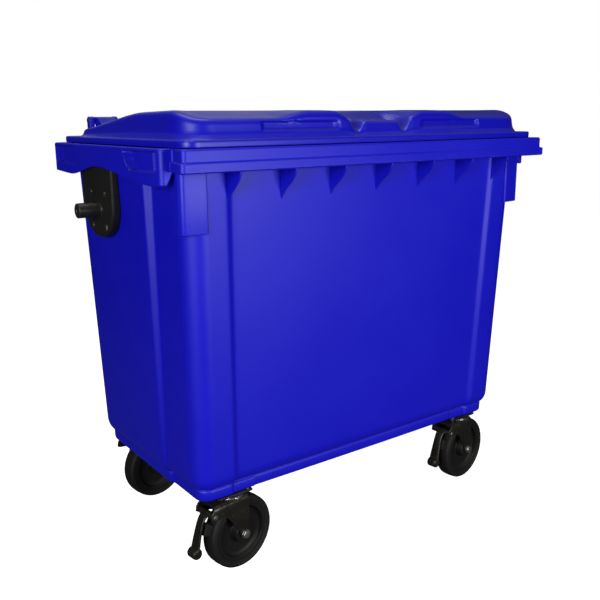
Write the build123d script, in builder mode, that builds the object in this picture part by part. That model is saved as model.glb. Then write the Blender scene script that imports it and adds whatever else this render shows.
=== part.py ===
from build123d import *
import os
from math import cos, sin, radians

# A 660-litre four-wheeled refuse container with a flat hinged lid, in millimetres.
# X runs along the long front, the front faces -Y, Z is up. The origin is on the floor under the
# middle of the comb rim.

# overall sizes
rim_half_x = 630.0           # half width over the front comb ledge
rim_half_y = 392.0           # half depth over the comb rim
tub_height = 908.0           # underside of the floor to the top of the rim
wheel_diameter = 208.0

# tub walls
wall = 6.0
floor_t = 7.0
comb_side_overhang = 46.0    # rim ledge to the corner columns at the top
comb_front_overhang = 64.0
rim_rear_overhang = 38.0
taper_side = 20.0            # how much narrower each side is at the base
taper_front = 38.0
taper_rear = 8.0
panel_proud_top = 21.0       # the side panel stands out from the corner column
panel_proud_base = 8.0
step_back_top = 188.0        # front wall to the front edge of the side panel
step_back_base = 186.0
step_run = 14.0
column_width = 108.0         # corner column on the front, in from its side
recess = 8.0                 # depth of the front panel between the columns
recess_run = 14.0
corner_r_front = 55.0
corner_r_rear = 100.0
soft_r = 25.0
step_r = 6.0

# foot of the tub
plinth_h = 32.0
plinth_inset = 16.0
round_h = 14.0               # first part of the rounded edge above the plinth
round_inset = 6.0
round_top_h = 24.0

# comb rim and skirts
rim_plate_t = 6.0
comb_band_h = 52.0
comb_ledge_h = 25.0
comb_ledge = 7.0
comb_flare = 20.0            # the comb ends lean outwards towards the front
comb_end_r = 18.0
skirt_beyond_rim = 6.0
comb_depth = 100.0           # front of the rim to the front end of the skirts
skirt_depth = 88.0
skirt_end_r = 14.0
rear_corner_r = 30.0
rear_band_h = 42.0
skirt_end_rise_x = 30.0
wave_rear = 77.0             # drops of the wavy lower edge below the rim top
wave_rear_lobe = 82.0
wave_arch = 55.0
wave_front_lobe = 85.0
wave_front = 82.0
wave_lobe_inset = 137.0      # from each end of the rim to the nearest lobe
wave_arch_shift = 25.0       # the arch stands forward of the trunnion

# hand pockets in the skirts
pocket_drop = 52.0
pocket_front_margin = 16.0
pocket_front_length = 175.0
pocket_rear_margin = 20.0
pocket_rear_length = 154.0
pocket_slope = 30.0
pocket_block_gap = 9.0
pocket_block_margin = 26.0

# fins under the front of the comb
fin_side_count = 3           # on each side of the middle one
fin_border = 6.5             # outermost fin to the corner column
fin_t = 5.0
fin_drop = 123.0
fin_toe_drop = 2.0           # the toe hangs a little below the comb band
fin_curve_drop = 34.0        # pull of the curved lower edge
fin_curve_reach = 14.0

# corner pads
pad_drop_top = 40.0
pad_drop = 197.0
pad_proud = 13.0
pad_front_x = 56.0
pad_front_proud = 1.0
pad_edge_back = 20.0         # front wall to the pad's square edge
pad_depth = 48.0
pad_back_run = 20.0

# lid
lid_gap = 2.0                # rim top to lid edge
lid_wall = 5.0
lid_edge_h = 17.0
lid_side_margin = 24.0
lid_front_margin = 25.5
lid_rear_margin = 4.0
lid_corner_r = 40.0
dome_side_margin = 9.0
dome_front_margin = 16.0
dome_rear_margin = 42.0
dome_lean = 18.0
dome_rear_lean = 6.0
dome_corner_r = 90.0
dome_rise = 85.0             # rim top to the highest part of the lid
dome_rear_rise = 32.0
dome_mid_rise = 51.0
dome_mid_y = 190.0
dome_back_rise = 76.0
dome_back_y = -20.0
dome_back_run = 150.0
scoop_depth = 17.0
scoop_outer = 34.0           # end ridge width
scoop_inner_x = 335.0
scoop_run_y = 190.0
notch_top_x = 140.0
notch_base_x = 76.0
notch_depth = 46.0
notch_run_y = 150.0

# lid hinge
hinge_rise = 63.0            # rim top to the hinge axis
hinge_inset_y = 14.0
hinge_pin_r = 5.0
hinge_outer_x = 104.0        # rim ledge to the outer face of the outer lug
hinge_span = 90.0
lug_t = 16.0
lug_r = 11.0
knuckle_r = 10.0
hinge_play = 0.06            # radial, pin in knuckle
knuckle_side_play = 1.0
hinge_head_r = 8.0
hinge_head_t = 3.0
lid_notch_play = 5.0
web_t = 12.0

# trunnions
trunnion_drop = 169.0        # rim top to the pin axis
trunnion_rear_run = 297.0    # rear of the rim to the pin axis
trunnion_pin_r = 20.0
trunnion_reach = 55.0        # rim ledge to the pin tip
trunnion_round = 6.0
plate_rear_run = 110.0       # trunnion axis to the rear edge of its plate
plate_front_run = 91.0
plate_proud = 25.0
plate_drop = 245.0
plate_bottom_r = 92.0
plate_chamfer = 9.0
backing_t = 5.0
backing_half = 62.0
trunnion_shank_r = 12.0
trunnion_nut_r = 20.0
trunnion_nut_t = 14.0
trunnion_bolt_r = 5.0
trunnion_bolt_offset = 45.0
trunnion_bolt_head_r = 9.0
trunnion_bolt_head_t = 5.0

# drain
drain_y = 210.0
drain_r = 26.0
drain_plug_play = 0.3
drain_flange_r = 36.0
drain_flange_t = 6.0
drain_seal_t = 2.5
drain_seal_inset = 2.0
drain_seal_play = 1.0
drain_grip = (44.0, 8.0, 12.0)

# castors
castor_x_inset = 119.0       # column foot to the swivel axis
castor_front_inset = 44.0    # front wall foot to the swivel axis
castor_rear_inset = 80.0
boss_half = (64.0, 48.0)     # solid corner blocks that take the castor bolts
boss_h = 30.0
castor_yaw = 8.0             # the castors rest turned a little
trail = 20.0
top_plate = (108.0, 60.0, 5.0)
plate_bolt_spacing = (84.0, 38.0)
bolt_r = 4.0
bolt_head_r = 7.0
bolt_head_t = 4.0
bolt_grip = 24.0             # depth of thread in the boss
nut_t = 8.0
hole_play = 0.4
race_t = 5.0
race_r = 38.0
race_bore = 24.0
swivel_gap = 0.3
crown_t = 4.5
crown_lip = 3.0              # crown beyond the ball race
tyre_clearance = 5.2         # top of the tyre to the crown
crown_front = 92.0           # reach of the crown towards the pedal
crown_rear = 33.0
kingpin_r = 10.0
kingpin_play = 0.06
kingpin_head_r = 16.0
kingpin_head_t = 4.0
fork_t = 4.0
fork_gap = 32.0              # half the space between the fork legs
fork_foot_r = 16.0
fork_foot_lean = 2.0
fork_knee = (-42.0, 33.0)    # from the swivel axis, below the crown
fork_toe = (-80.0, 13.0)
tyre_wall = 22.0
tyre_width = 50.0
tyre_round = 12.0
tyre_bead_r = 2.0
hub_web_t = 12.0
hub_boss_r = 27.0
hub_boss_width = 60.0
hub_rim_t = 8.0
hub_rim_width = 44.0
hub_fillet = 3.0
hub_edge_r = 2.0
bush_r = 14.0
axle_r = 8.0
axle_play = 0.06
axle_head_r = 12.0
axle_head_t = 7.0

# brake on the front castors
pivot_x = -80.0
pivot_drop = 27.0            # crown top to the pivot axis
pivot_r = 4.0
pivot_play = 0.06
pivot_head_r = 6.5
pivot_head_t = 3.0
pedal_t = 6.0
pedal_half_w = 17.0
pedal_eye_r = 9.0
pedal_edge_r = 1.0
pedal_side_play = 1.0
pedal_tip_reach = 42.4       # tread to the middle of the round tip
pedal_tip_angle = 184.0      # about the axle
pedal_tip_r = 15.0
pedal_knee_reach = 27.2
pedal_knee_angle = 156.9
shoe_gap = 0.6
shoe_t = 24.0
shoe_half_w = 15.0
shoe_angle = 158.0
shoe_half_angle = 7.0

# levels and places worked out from the sizes above
base_z = wheel_diameter + tyre_clearance + crown_t + swivel_gap + race_t + top_plate[2]
rim_z = base_z + tub_height
axle_z = wheel_diameter / 2
skirt_x = rim_half_x + skirt_beyond_rim
column_top_x = rim_half_x - comb_side_overhang
column_base_x = column_top_x - taper_side
front_top_y = -rim_half_y + comb_front_overhang
front_base_y = front_top_y + taper_front
rear_top_y = rim_half_y - rim_rear_overhang
rear_base_y = rear_top_y - taper_rear
comb_front_y = -(rim_half_y - comb_ledge)
skirt_front_y = comb_depth - rim_half_y
step_y_top = front_top_y + step_back_top
step_y_base = front_base_y + step_back_base
wave_front_lobe_y = wave_lobe_inset - rim_half_y
wave_rear_lobe_y = rim_half_y - wave_lobe_inset
trunnion_y = rim_half_y - trunnion_rear_run
wave_arch_y = trunnion_y - wave_arch_shift
pocket_front_start = skirt_front_y + pocket_front_margin
pocket_front = (pocket_front_start, pocket_front_start + pocket_front_length)
pocket_rear_end = rim_half_y - pocket_rear_margin
pocket_rear = (pocket_rear_end - pocket_rear_length, pocket_rear_end)
fin_pitch = (column_top_x - column_width - fin_border) / fin_side_count
pad_edge_y = front_top_y + pad_edge_back
pad_rear_y = front_top_y + pad_depth
plate_front_y = trunnion_y - plate_front_run
plate_rear_y = trunnion_y + plate_rear_run
hinge_y = rim_half_y - hinge_inset_y
hinge_z = rim_z + hinge_rise
hinge_x = rim_half_x - hinge_outer_x
trunnion_z = rim_z - trunnion_drop
trunnion_tip_x = rim_half_x + trunnion_reach
swivel_x = column_base_x - castor_x_inset
swivel_front_y = front_base_y + castor_front_inset
swivel_rear_y = rear_base_y - castor_rear_inset
plate_z = base_z - top_plate[2]
race_z = plate_z - race_t
crown_z = race_z - swivel_gap
crown_low_z = crown_z - crown_t

os.makedirs("parts", exist_ok=True)


def save(piece, name):
    """Label a finished piece and write it under its own name."""
    piece.label = name
    export_step(piece, f"parts/{name}.step")


def at_height(z, top, base):
    """A tub size at height z, tapering straight from the base value to the top value."""
    share = (z - base_z) / tub_height
    return base + (top - base) * share


def tub_section(z, inset, grow_in=0.0):
    """Plan of the tub at height z. inset steps the whole outline in; grow_in is the wall left out."""
    shift = inset + grow_in
    column_x = at_height(z, column_top_x, column_base_x) - shift
    panel_x = column_x + at_height(z, panel_proud_top, panel_proud_base)
    front_y = at_height(z, front_top_y, front_base_y) + shift
    rear_y = at_height(z, rear_top_y, rear_base_y) - shift
    step_y = at_height(z, step_y_top, step_y_base)
    border_x = at_height(z, column_top_x, column_base_x) - column_width
    left = [
        (-border_x + recess_run, front_y + recess),
        (-border_x, front_y),
        (-column_x, front_y),
        (-column_x, step_y - step_run),
        (-panel_x, step_y),
        (-panel_x, rear_y),
    ]
    right = [(-x, y) for x, y in reversed(left)]
    radii = [soft_r, soft_r, corner_r_front - grow_in, step_r, step_r, corner_r_rear - grow_in]
    with BuildSketch(Plane.XY.offset(z)) as section:
        with BuildLine():
            FilletPolyline(*left, *right, radius=radii + radii[::-1], close=True)
        make_face()
    return section.sketch


def tub_body(grow_in, bottom_z, top_z):
    """The tapering body of the tub as one closed solid, from bottom_z up to top_z."""
    levels = [
        (bottom_z, plinth_inset),
        (base_z + plinth_h, plinth_inset),
        (base_z + plinth_h + round_h, round_inset),
        (base_z + plinth_h + round_h + round_top_h, 0.0),
        (top_z, 0.0),
    ]
    with BuildPart() as body:
        loft([tub_section(z, inset, grow_in) for z, inset in levels], ruled=True)
    return body.part


def rim_plan(z, inset):
    """Plan of the comb rim with its side skirts, stepped in by inset."""
    comb_rear_x = rim_half_x - comb_ledge - comb_flare - inset
    comb_front_x = rim_half_x - comb_ledge - inset
    left = [
        (-comb_front_x, comb_front_y + inset),
        (-comb_rear_x, skirt_front_y + inset),
        (-skirt_x + inset, skirt_front_y + inset),
        (-skirt_x + inset, rim_half_y - inset),
    ]
    right = [(-x, y) for x, y in reversed(left)]
    radii = [comb_end_r - inset, step_r, skirt_end_r - inset, rear_corner_r - inset]
    with BuildSketch(Plane.XY.offset(z)) as plan:
        with BuildLine():
            FilletPolyline(*left, *right, radius=radii + radii[::-1], close=True)
        make_face()
    return plan.sketch


def comb_plan(z, grow):
    """Plan of the front comb alone, grown outwards by grow and open towards the rear."""
    rear_x = rim_half_x - comb_ledge - comb_flare + grow
    front_x = rim_half_x - comb_ledge + grow
    front_y = comb_front_y - grow
    points = [(-rear_x, skirt_front_y), (-front_x, front_y), (front_x, front_y), (rear_x, skirt_front_y)]
    radii = [0, comb_end_r + grow, comb_end_r + grow, 0]
    with BuildSketch(Plane.XY.offset(z)) as plan:
        with BuildLine():
            FilletPolyline(*points, radius=radii, close=True)
        make_face()
    return plan.sketch


def make_rim():
    """Rim plate with the comb band, its ledge and the wavy side skirts, open underneath."""
    low_z = rim_z - skirt_depth
    comb_low_z = rim_z - comb_band_h
    wave = [
        (rim_half_y + wall, rim_z - wave_rear),
        (wave_rear_lobe_y, rim_z - wave_rear_lobe),
        (wave_arch_y, rim_z - wave_arch),
        (wave_front_lobe_y, rim_z - wave_front_lobe),
        (skirt_front_y - wall, rim_z - wave_front),
    ]
    with BuildPart() as rim:
        extrude(rim_plan(low_z, 0), skirt_depth)
        extrude(comb_plan(comb_low_z, comb_ledge), comb_ledge_h)
        extrude(rim_plan(low_z, wall), skirt_depth - rim_plate_t, mode=Mode.SUBTRACT)
        # straight lower edge of the comb
        with BuildSketch(Plane.XY.offset(low_z)):
            with Locations((0, comb_front_y - wall)):
                comb_run = skirt_front_y - comb_front_y + wall
                Rectangle(3 * rim_half_x, comb_run, align=(Align.CENTER, Align.MIN))
        extrude(amount=skirt_depth - comb_band_h, mode=Mode.SUBTRACT)
        # wavy lower edge of the skirts
        with BuildSketch(Plane.YZ.offset(-2 * rim_half_x)):
            with BuildLine():
                Spline(*wave)
                front_foot = (skirt_front_y - wall, low_z - wall)
                rear_foot = (rim_half_y + wall, low_z - wall)
                Polyline(wave[-1], front_foot, rear_foot, wave[0])
            make_face()
        extrude(amount=4 * rim_half_x, mode=Mode.SUBTRACT)
        # level lower edge across the rear
        with BuildSketch(Plane.XY.offset(low_z)):
            with Locations((0, rim_half_y + wall)):
                Rectangle(2 * (skirt_x - rear_corner_r), 2 * wall + step_r, align=(Align.CENTER, Align.MAX))
        extrude(amount=skirt_depth - rear_band_h, mode=Mode.SUBTRACT)
        # the skirt ends rise towards the comb
        for side in (-1, 1):
            with BuildSketch(Plane.XZ.offset(-skirt_front_y - skirt_end_r)):
                with BuildLine():
                    Polyline(
                        (side * (skirt_x - skirt_end_rise_x / 2), low_z - wall),
                        (side * (skirt_x - skirt_end_rise_x / 2), rim_z - wave_front),
                        (side * (skirt_x - skirt_end_rise_x), comb_low_z),
                        (side * column_top_x, comb_low_z),
                        (side * column_top_x, low_z - wall),
                        close=True,
                    )
                make_face()
            extrude(amount=2 * skirt_end_r, mode=Mode.SUBTRACT)
    return rim.part


def make_pocket_cuts():
    """The openings of the two hand pockets in the left skirt, each with one sloping edge."""
    top_z = rim_z - rim_plate_t
    low_z = rim_z - pocket_drop
    with BuildPart() as cuts:
        for span, slope in ((pocket_front, pocket_slope), (pocket_rear, 0.0)):
            points = [(span[0], top_z), (span[0], low_z), (span[1] - slope, low_z), (span[1], top_z)]
            with BuildSketch(Plane.YZ.offset(-skirt_x - wall)):
                with BuildLine():
                    FilletPolyline(*points, radius=[0, step_r, 2 * step_r, 0], close=True)
                make_face()
            extrude(amount=2 * wall)
    return cuts.part


def make_pocket_blocks():
    """The rounded grip blocks moulded behind the hand pockets of the left skirt."""
    block_x = skirt_x - pocket_block_gap
    panel_x = column_top_x + panel_proud_top - wall
    with BuildPart() as blocks:
        for span in (pocket_front, pocket_rear):
            low_y = span[0]
            high_y = span[1] - pocket_slope - pocket_block_margin
            with BuildSketch(Plane.XY.offset(rim_z - pocket_drop)):
                with BuildLine():
                    FilletPolyline(
                        (-panel_x, low_y),
                        (-block_x, low_y),
                        (-block_x, high_y),
                        (-panel_x, high_y),
                        radius=[0, step_r, step_r, 0],
                        close=True,
                    )
                make_face()
            extrude(amount=pocket_drop - rim_plate_t / 2)
    return blocks.part


def make_fins():
    """Upright fins between the front wall and the comb band."""
    top_z = rim_z - rim_plate_t / 2
    band_y = comb_front_y + wall / 2
    wall_y = at_height(rim_z - fin_drop, front_top_y, front_base_y) + recess + wall / 2
    toe_z = rim_z - comb_band_h - fin_toe_drop
    curve_z = toe_z - fin_curve_drop
    with BuildPart() as fins:
        for index in range(-fin_side_count, fin_side_count + 1):
            with BuildSketch(Plane.YZ.offset(index * fin_pitch - fin_t / 2)):
                with BuildLine():
                    Polyline((wall_y, rim_z - fin_drop), (wall_y, top_z), (band_y, top_z), (band_y, toe_z))
                    Bezier(
                        (band_y, toe_z),
                        (band_y, curve_z),
                        (wall_y - fin_curve_reach, curve_z),
                        (wall_y, rim_z - fin_drop),
                    )
                make_face()
            extrude(amount=fin_t)
    return fins.part


def make_pads():
    """Raised pads that square off the two front corners below the comb."""
    pad_x = column_top_x + pad_proud
    low_z = rim_z - pad_drop
    front_y = front_top_y - pad_front_proud
    with BuildPart() as pads:
        for side in (-1, 1):
            with BuildSketch(Plane.XY.offset(low_z)):
                with BuildLine():
                    FilletPolyline(
                        (side * (column_top_x - pad_front_x), front_y),
                        (side * (pad_x - step_r), front_y + step_r),
                        (side * pad_x, pad_edge_y),
                        (side * pad_x, pad_rear_y),
                        (side * (column_top_x - wall), pad_rear_y),
                        (side * (column_top_x - pad_front_x), pad_rear_y - pad_back_run),
                        radius=[0, step_r, step_r / 2, step_r / 2, 0, 0],
                        close=True,
                    )
                make_face()
            extrude(amount=pad_drop - pad_drop_top)
    return pads.part


def lug_profile(x, radius):
    """Side view of a hinge lug: an upright with a round eye at the hinge axis."""
    with BuildSketch(Plane.YZ.offset(x)) as profile:
        with Locations((hinge_y, hinge_z)):
            Circle(radius)
        with Locations((hinge_y, rim_z - rim_plate_t / 2)):
            Rectangle(2 * radius, hinge_rise + rim_plate_t / 2, align=(Align.CENTER, Align.MIN))
    return profile.sketch


def hinge_side_x(side, distance):
    """X of a plane at distance inwards from the outer lug face, for an extrusion towards +X."""
    if side < 0:
        return -hinge_x + distance
    return hinge_x - distance


def make_lugs():
    """Four upright lugs that carry the two hinge pins."""
    with BuildPart() as lugs:
        for side in (-1, 1):
            for distance in (0.0, hinge_span - lug_t):
                extrude(lug_profile(hinge_side_x(side, distance), lug_r), -side * lug_t)
        with BuildSketch(Plane.YZ.offset(-rim_half_x)):
            with Locations((hinge_y, hinge_z)):
                Circle(hinge_pin_r)
        extrude(amount=2 * rim_half_x, mode=Mode.SUBTRACT)
    return lugs.part


def trunnion_bolt_places():
    """The four bolt centres of a trunnion, as (y, z)."""
    offset = trunnion_bolt_offset
    return [(trunnion_y + sy * offset, trunnion_z + sz * offset) for sy in (-1, 1) for sz in (-1, 1)]


def castor_stations():
    """Name, x and y of the four swivel axes."""
    return [
        ("front_left", -swivel_x, swivel_front_y),
        ("front_right", swivel_x, swivel_front_y),
        ("rear_left", -swivel_x, swivel_rear_y),
        ("rear_right", swivel_x, swivel_rear_y),
    ]


def make_cavity():
    """Inside of the tub, less the solid bosses over the castors."""
    with BuildPart() as cavity:
        add(tub_body(wall, base_z + floor_t, rim_z + wall))
        with BuildSketch(Plane.XY.offset(base_z)):
            for _, x, y in castor_stations():
                with Locations((x, y)):
                    Rectangle(2 * boss_half[0], 2 * boss_half[1])
        extrude(amount=boss_h, mode=Mode.SUBTRACT)
    return cavity.part


def make_tub(outer):
    """The one-piece tub: walls, floor, rim, fins, pads, hinge lugs and every hole."""
    cavity = make_cavity()
    left_blocks = make_pocket_blocks()
    right_blocks = mirror(left_blocks, about=Plane.YZ)
    left_cuts = make_pocket_cuts()
    right_cuts = mirror(left_cuts, about=Plane.YZ)
    with BuildPart() as tub:
        add(outer)
        add(make_rim())
        add(make_fins())
        add(make_pads())
        add(make_lugs())
        add(left_blocks)
        add(right_blocks)
        add(cavity, mode=Mode.SUBTRACT)
        add(left_cuts, mode=Mode.SUBTRACT)
        add(right_cuts, mode=Mode.SUBTRACT)
        # trunnion shank and bolts
        with BuildSketch(Plane.YZ.offset(-rim_half_x)):
            with Locations((trunnion_y, trunnion_z)):
                Circle(trunnion_shank_r + hole_play)
            with Locations(*trunnion_bolt_places()):
                Circle(trunnion_bolt_r + hole_play)
        extrude(amount=2 * rim_half_x, mode=Mode.SUBTRACT)
        # drain hole through the floor
        with BuildSketch(Plane.XY.offset(base_z)):
            with Locations((0, drain_y)):
                Circle(drain_r)
        extrude(amount=floor_t, mode=Mode.SUBTRACT)
        # castor bolt holes up into the bosses
        with BuildSketch(Plane.XY.offset(base_z)):
            for _, x, y in castor_stations():
                with Locations((x, y)):
                    with GridLocations(*plate_bolt_spacing, 2, 2):
                        Circle(bolt_r)
        extrude(amount=bolt_grip, mode=Mode.SUBTRACT)
    return tub.part


def lid_edge_plan(z, inset):
    """Plan of the lid's rolled edge."""
    half_x = rim_half_x - lid_side_margin - inset
    front_y = -rim_half_y + lid_front_margin + inset
    rear_y = rim_half_y - lid_rear_margin - inset
    points = [(-half_x, front_y), (half_x, front_y), (half_x, rear_y), (-half_x, rear_y)]
    with BuildSketch(Plane.XY.offset(z)) as plan:
        with BuildLine():
            FilletPolyline(*points, radius=lid_corner_r - inset, close=True)
        make_face()
    return plan.sketch


def dome_plan(z, lean, rear_lean, inset):
    """Plan of the raised middle of the lid, leaning inwards by lean, and by rear_lean at the rear."""
    half_x = rim_half_x - lid_side_margin - dome_side_margin - lean - inset
    front_y = -rim_half_y + lid_front_margin + dome_front_margin + lean + inset
    rear_y = rim_half_y - lid_rear_margin - dome_rear_margin - rear_lean - inset
    points = [(-half_x, front_y), (half_x, front_y), (half_x, rear_y), (-half_x, rear_y)]
    with BuildSketch(Plane.XY.offset(z)) as plan:
        with BuildLine():
            FilletPolyline(*points, radius=dome_corner_r - inset, close=True)
        make_face()
    return plan.sketch


def make_lid_form(inset):
    """The lid as a closed solid: rolled edge and sculpted dome, stepped in by inset."""
    edge_low_z = rim_z + lid_gap
    edge_top_z = edge_low_z + lid_edge_h
    front_y = -rim_half_y
    profile = [
        (front_y, edge_low_z + lid_edge_h / 2),
        (front_y, rim_z + dome_rise - inset),
        (dome_back_y - dome_back_run, rim_z + dome_rise - inset),
        (dome_back_y, rim_z + dome_back_rise - inset),
        (dome_mid_y, rim_z + dome_mid_rise - inset),
        (rim_half_y - lid_rear_margin - dome_rear_margin, rim_z + dome_rear_rise - inset),
        (rim_half_y, rim_z + dome_rear_rise - inset),
        (rim_half_y, edge_low_z + lid_edge_h / 2),
    ]
    scoop_x = rim_half_x - lid_side_margin - dome_side_margin - scoop_outer
    dome_front_y = -rim_half_y + lid_front_margin + dome_front_margin
    with BuildPart() as form:
        foot = dome_plan(edge_low_z + lid_edge_h / 2, 0, 0, inset)
        loft([foot, dome_plan(rim_z + dome_rise, dome_lean, dome_rear_lean, inset)])
        with BuildSketch(Plane.YZ.offset(-rim_half_x)):
            with BuildLine():
                Polyline(*profile, close=True)
            make_face()
        extrude(amount=2 * rim_half_x, mode=Mode.INTERSECT)
        # scoops in the front corners of the top
        with BuildSketch(Plane.YZ):
            with BuildLine():
                Polyline(
                    (dome_front_y - wall, rim_z + dome_rise - scoop_depth - inset),
                    (dome_front_y + dome_lean, rim_z + dome_rise - scoop_depth - inset),
                    (dome_front_y + scoop_run_y, rim_z + dome_rise - inset),
                    (dome_front_y + scoop_run_y, rim_z + 2 * dome_rise),
                    (dome_front_y - wall, rim_z + 2 * dome_rise),
                    close=True,
                )
            make_face()
        scoop = extrude(amount=scoop_x - scoop_inner_x, mode=Mode.PRIVATE)
        for start in (-scoop_x, scoop_inner_x):
            add(scoop.moved(Location((start, 0, 0))), mode=Mode.SUBTRACT)
        # low middle of the front
        with BuildSketch(Plane.XZ.offset(-dome_front_y - notch_run_y)):
            with BuildLine():
                Polyline(
                    (-notch_top_x, rim_z + dome_rise + wall),
                    (-notch_base_x, rim_z + dome_rise - notch_depth - inset),
                    (notch_base_x, rim_z + dome_rise - notch_depth - inset),
                    (notch_top_x, rim_z + dome_rise + wall),
                    close=True,
                )
            make_face()
        extrude(amount=2 * notch_run_y, mode=Mode.SUBTRACT)
        extrude(lid_edge_plan(edge_low_z - inset, inset), lid_edge_h)
    return form.part


def make_lid():
    """The lid shell with its hinge knuckles."""
    knuckle_gap = lug_t + knuckle_side_play
    knuckle_w = hinge_span - 2 * knuckle_gap
    notch_low_y = hinge_y - lug_r - lid_notch_play
    arm_y = notch_low_y - 2 * lug_r
    arm_low_z = rim_z + dome_rear_rise - lid_wall
    with BuildPart() as lid:
        add(make_lid_form(0))
        add(make_lid_form(lid_wall), mode=Mode.SUBTRACT)
        # room for the tub's lugs
        for side in (-1, 1):
            with BuildSketch(Plane.XY.offset(rim_z)):
                with Locations((side * (hinge_x - hinge_span / 2), notch_low_y)):
                    Rectangle(
                        hinge_span + 2 * lid_notch_play,
                        rim_half_y - notch_low_y + wall,
                        align=(Align.CENTER, Align.MIN),
                    )
            extrude(amount=hinge_rise, mode=Mode.SUBTRACT)
        # knuckles, each with an arm down to the dome
        for side in (-1, 1):
            with BuildSketch(Plane.YZ.offset(hinge_side_x(side, knuckle_gap))):
                with Locations((hinge_y, hinge_z)):
                    Circle(knuckle_r)
                with BuildLine():
                    Polyline(
                        (hinge_y, hinge_z + knuckle_r),
                        (arm_y, hinge_z + knuckle_r - web_t / 2),
                        (arm_y - 2 * lug_r, arm_low_z),
                        (arm_y + lug_r, arm_low_z),
                        (hinge_y, hinge_z - knuckle_r),
                        close=True,
                    )
                make_face()
            extrude(amount=-side * knuckle_w)
        with BuildSketch(Plane.YZ.offset(-rim_half_x)):
            with Locations((hinge_y, hinge_z)):
                Circle(hinge_pin_r + hinge_play)
        extrude(amount=2 * rim_half_x, mode=Mode.SUBTRACT)
    return lid.part


def make_hinge_pin():
    """Left hinge pin, through two lugs and the knuckle, with a flat head at each end."""
    with BuildPart() as pin:
        with BuildSketch(Plane.YZ.offset(-hinge_x)):
            with Locations((hinge_y, hinge_z)):
                Circle(hinge_pin_r)
        extrude(amount=hinge_span)
        for start in (-hinge_x - hinge_head_t, -hinge_x + hinge_span):
            with BuildSketch(Plane.YZ.offset(start)):
                with Locations((hinge_y, hinge_z)):
                    Circle(hinge_head_r)
            extrude(amount=hinge_head_t)
    return pin.part


def panel_x_at(z):
    """Outer face of the side panel at height z."""
    column_x = at_height(z, column_top_x, column_base_x)
    return column_x + at_height(z, panel_proud_top, panel_proud_base)


def make_trunnion_plate(outer):
    """Left trunnion housing: a thick plate with a round foot, seated on the side wall."""
    face_x = panel_x_at(trunnion_z) + plate_proud
    top_z = rim_z - rim_plate_t
    points = [
        (plate_front_y, top_z),
        (plate_front_y, rim_z - plate_drop),
        (plate_rear_y, rim_z - plate_drop),
        (plate_rear_y, top_z),
    ]
    with BuildPart() as plate:
        with BuildSketch(Plane.YZ.offset(-face_x)):
            with BuildLine():
                FilletPolyline(*points, radius=[0, plate_bottom_r, plate_bottom_r, 0], close=True)
            make_face()
        extrude(amount=2 * plate_proud)
        chamfer(plate.faces().sort_by(Axis.X)[0].edges(), plate_chamfer)
        add(outer, mode=Mode.SUBTRACT)
        with BuildSketch(Plane.YZ.offset(-face_x)):
            with Locations((trunnion_y, trunnion_z)):
                Circle(trunnion_shank_r)
            with Locations(*trunnion_bolt_places()):
                Circle(trunnion_bolt_r + hole_play)
        extrude(amount=2 * plate_proud, mode=Mode.SUBTRACT)
    return plate.part


def inner_wall_x():
    """Where the flat steel backing plate stands inside the tub, clear of the leaning wall."""
    return panel_x_at(trunnion_z - backing_half) - wall


def make_trunnion_pin():
    """Left lifting pin: a round head outside, a shank through the wall and a nut inside."""
    face_x = panel_x_at(trunnion_z) + plate_proud
    nut_x = inner_wall_x() - backing_t
    with BuildPart() as pin:
        with BuildSketch(Plane.YZ.offset(-face_x)):
            with Locations((trunnion_y, trunnion_z)):
                Circle(trunnion_pin_r)
        extrude(amount=-(trunnion_tip_x - face_x))
        fillet(pin.faces().sort_by(Axis.X)[0].edges(), trunnion_round)
        with BuildSketch(Plane.YZ.offset(-face_x)):
            with Locations((trunnion_y, trunnion_z)):
                Circle(trunnion_shank_r)
        extrude(amount=face_x - nut_x + trunnion_nut_t)
        with BuildSketch(Plane.YZ.offset(-nut_x)):
            with Locations((trunnion_y, trunnion_z)):
                RegularPolygon(trunnion_nut_r, 6)
        extrude(amount=trunnion_nut_t)
    return pin.part


def make_backing_plate():
    """Left steel plate inside the wall that spreads the trunnion's load."""
    with BuildPart() as backing:
        with BuildSketch(Plane.YZ.offset(-inner_wall_x())):
            with Locations((trunnion_y, trunnion_z)):
                RectangleRounded(2 * backing_half, 2 * backing_half, 2 * step_r)
                Circle(trunnion_shank_r, mode=Mode.SUBTRACT)
            with Locations(*trunnion_bolt_places()):
                Circle(trunnion_bolt_r + hole_play, mode=Mode.SUBTRACT)
        extrude(amount=backing_t)
    return backing.part


def make_trunnion_bolts():
    """Left group of four bolts through the housing, the wall and the backing plate."""
    face_x = panel_x_at(trunnion_z) + plate_proud
    nut_x = inner_wall_x() - backing_t
    with BuildPart() as bolts:
        for radius, start, length in (
            (trunnion_bolt_r, face_x, face_x - nut_x + trunnion_bolt_head_t),
            (trunnion_bolt_head_r, face_x + trunnion_bolt_head_t, trunnion_bolt_head_t),
        ):
            with BuildSketch(Plane.YZ.offset(-start)):
                with Locations(*trunnion_bolt_places()):
                    Circle(radius)
            extrude(amount=length)
        with BuildSketch(Plane.YZ.offset(-nut_x)):
            with Locations(*trunnion_bolt_places()):
                RegularPolygon(trunnion_bolt_head_r, 6)
        extrude(amount=nut_t)
    return bolts.part


def make_drain_plug():
    """Quarter-turn plug in the floor, with a finger bar underneath."""
    flange_z = base_z - drain_seal_t
    with BuildPart() as plug:
        with BuildSketch(Plane.XY.offset(flange_z)):
            with Locations((0, drain_y)):
                Circle(drain_flange_r)
        extrude(amount=-drain_flange_t)
        with BuildSketch(Plane.XY.offset(flange_z)):
            with Locations((0, drain_y)):
                Circle(drain_r - drain_plug_play)
        extrude(amount=drain_seal_t + floor_t)
        with BuildSketch(Plane.XY.offset(flange_z - drain_flange_t)):
            with Locations((0, drain_y)):
                SlotOverall(drain_grip[0], drain_grip[1])
        extrude(amount=-drain_grip[2])
    return plug.part


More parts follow.
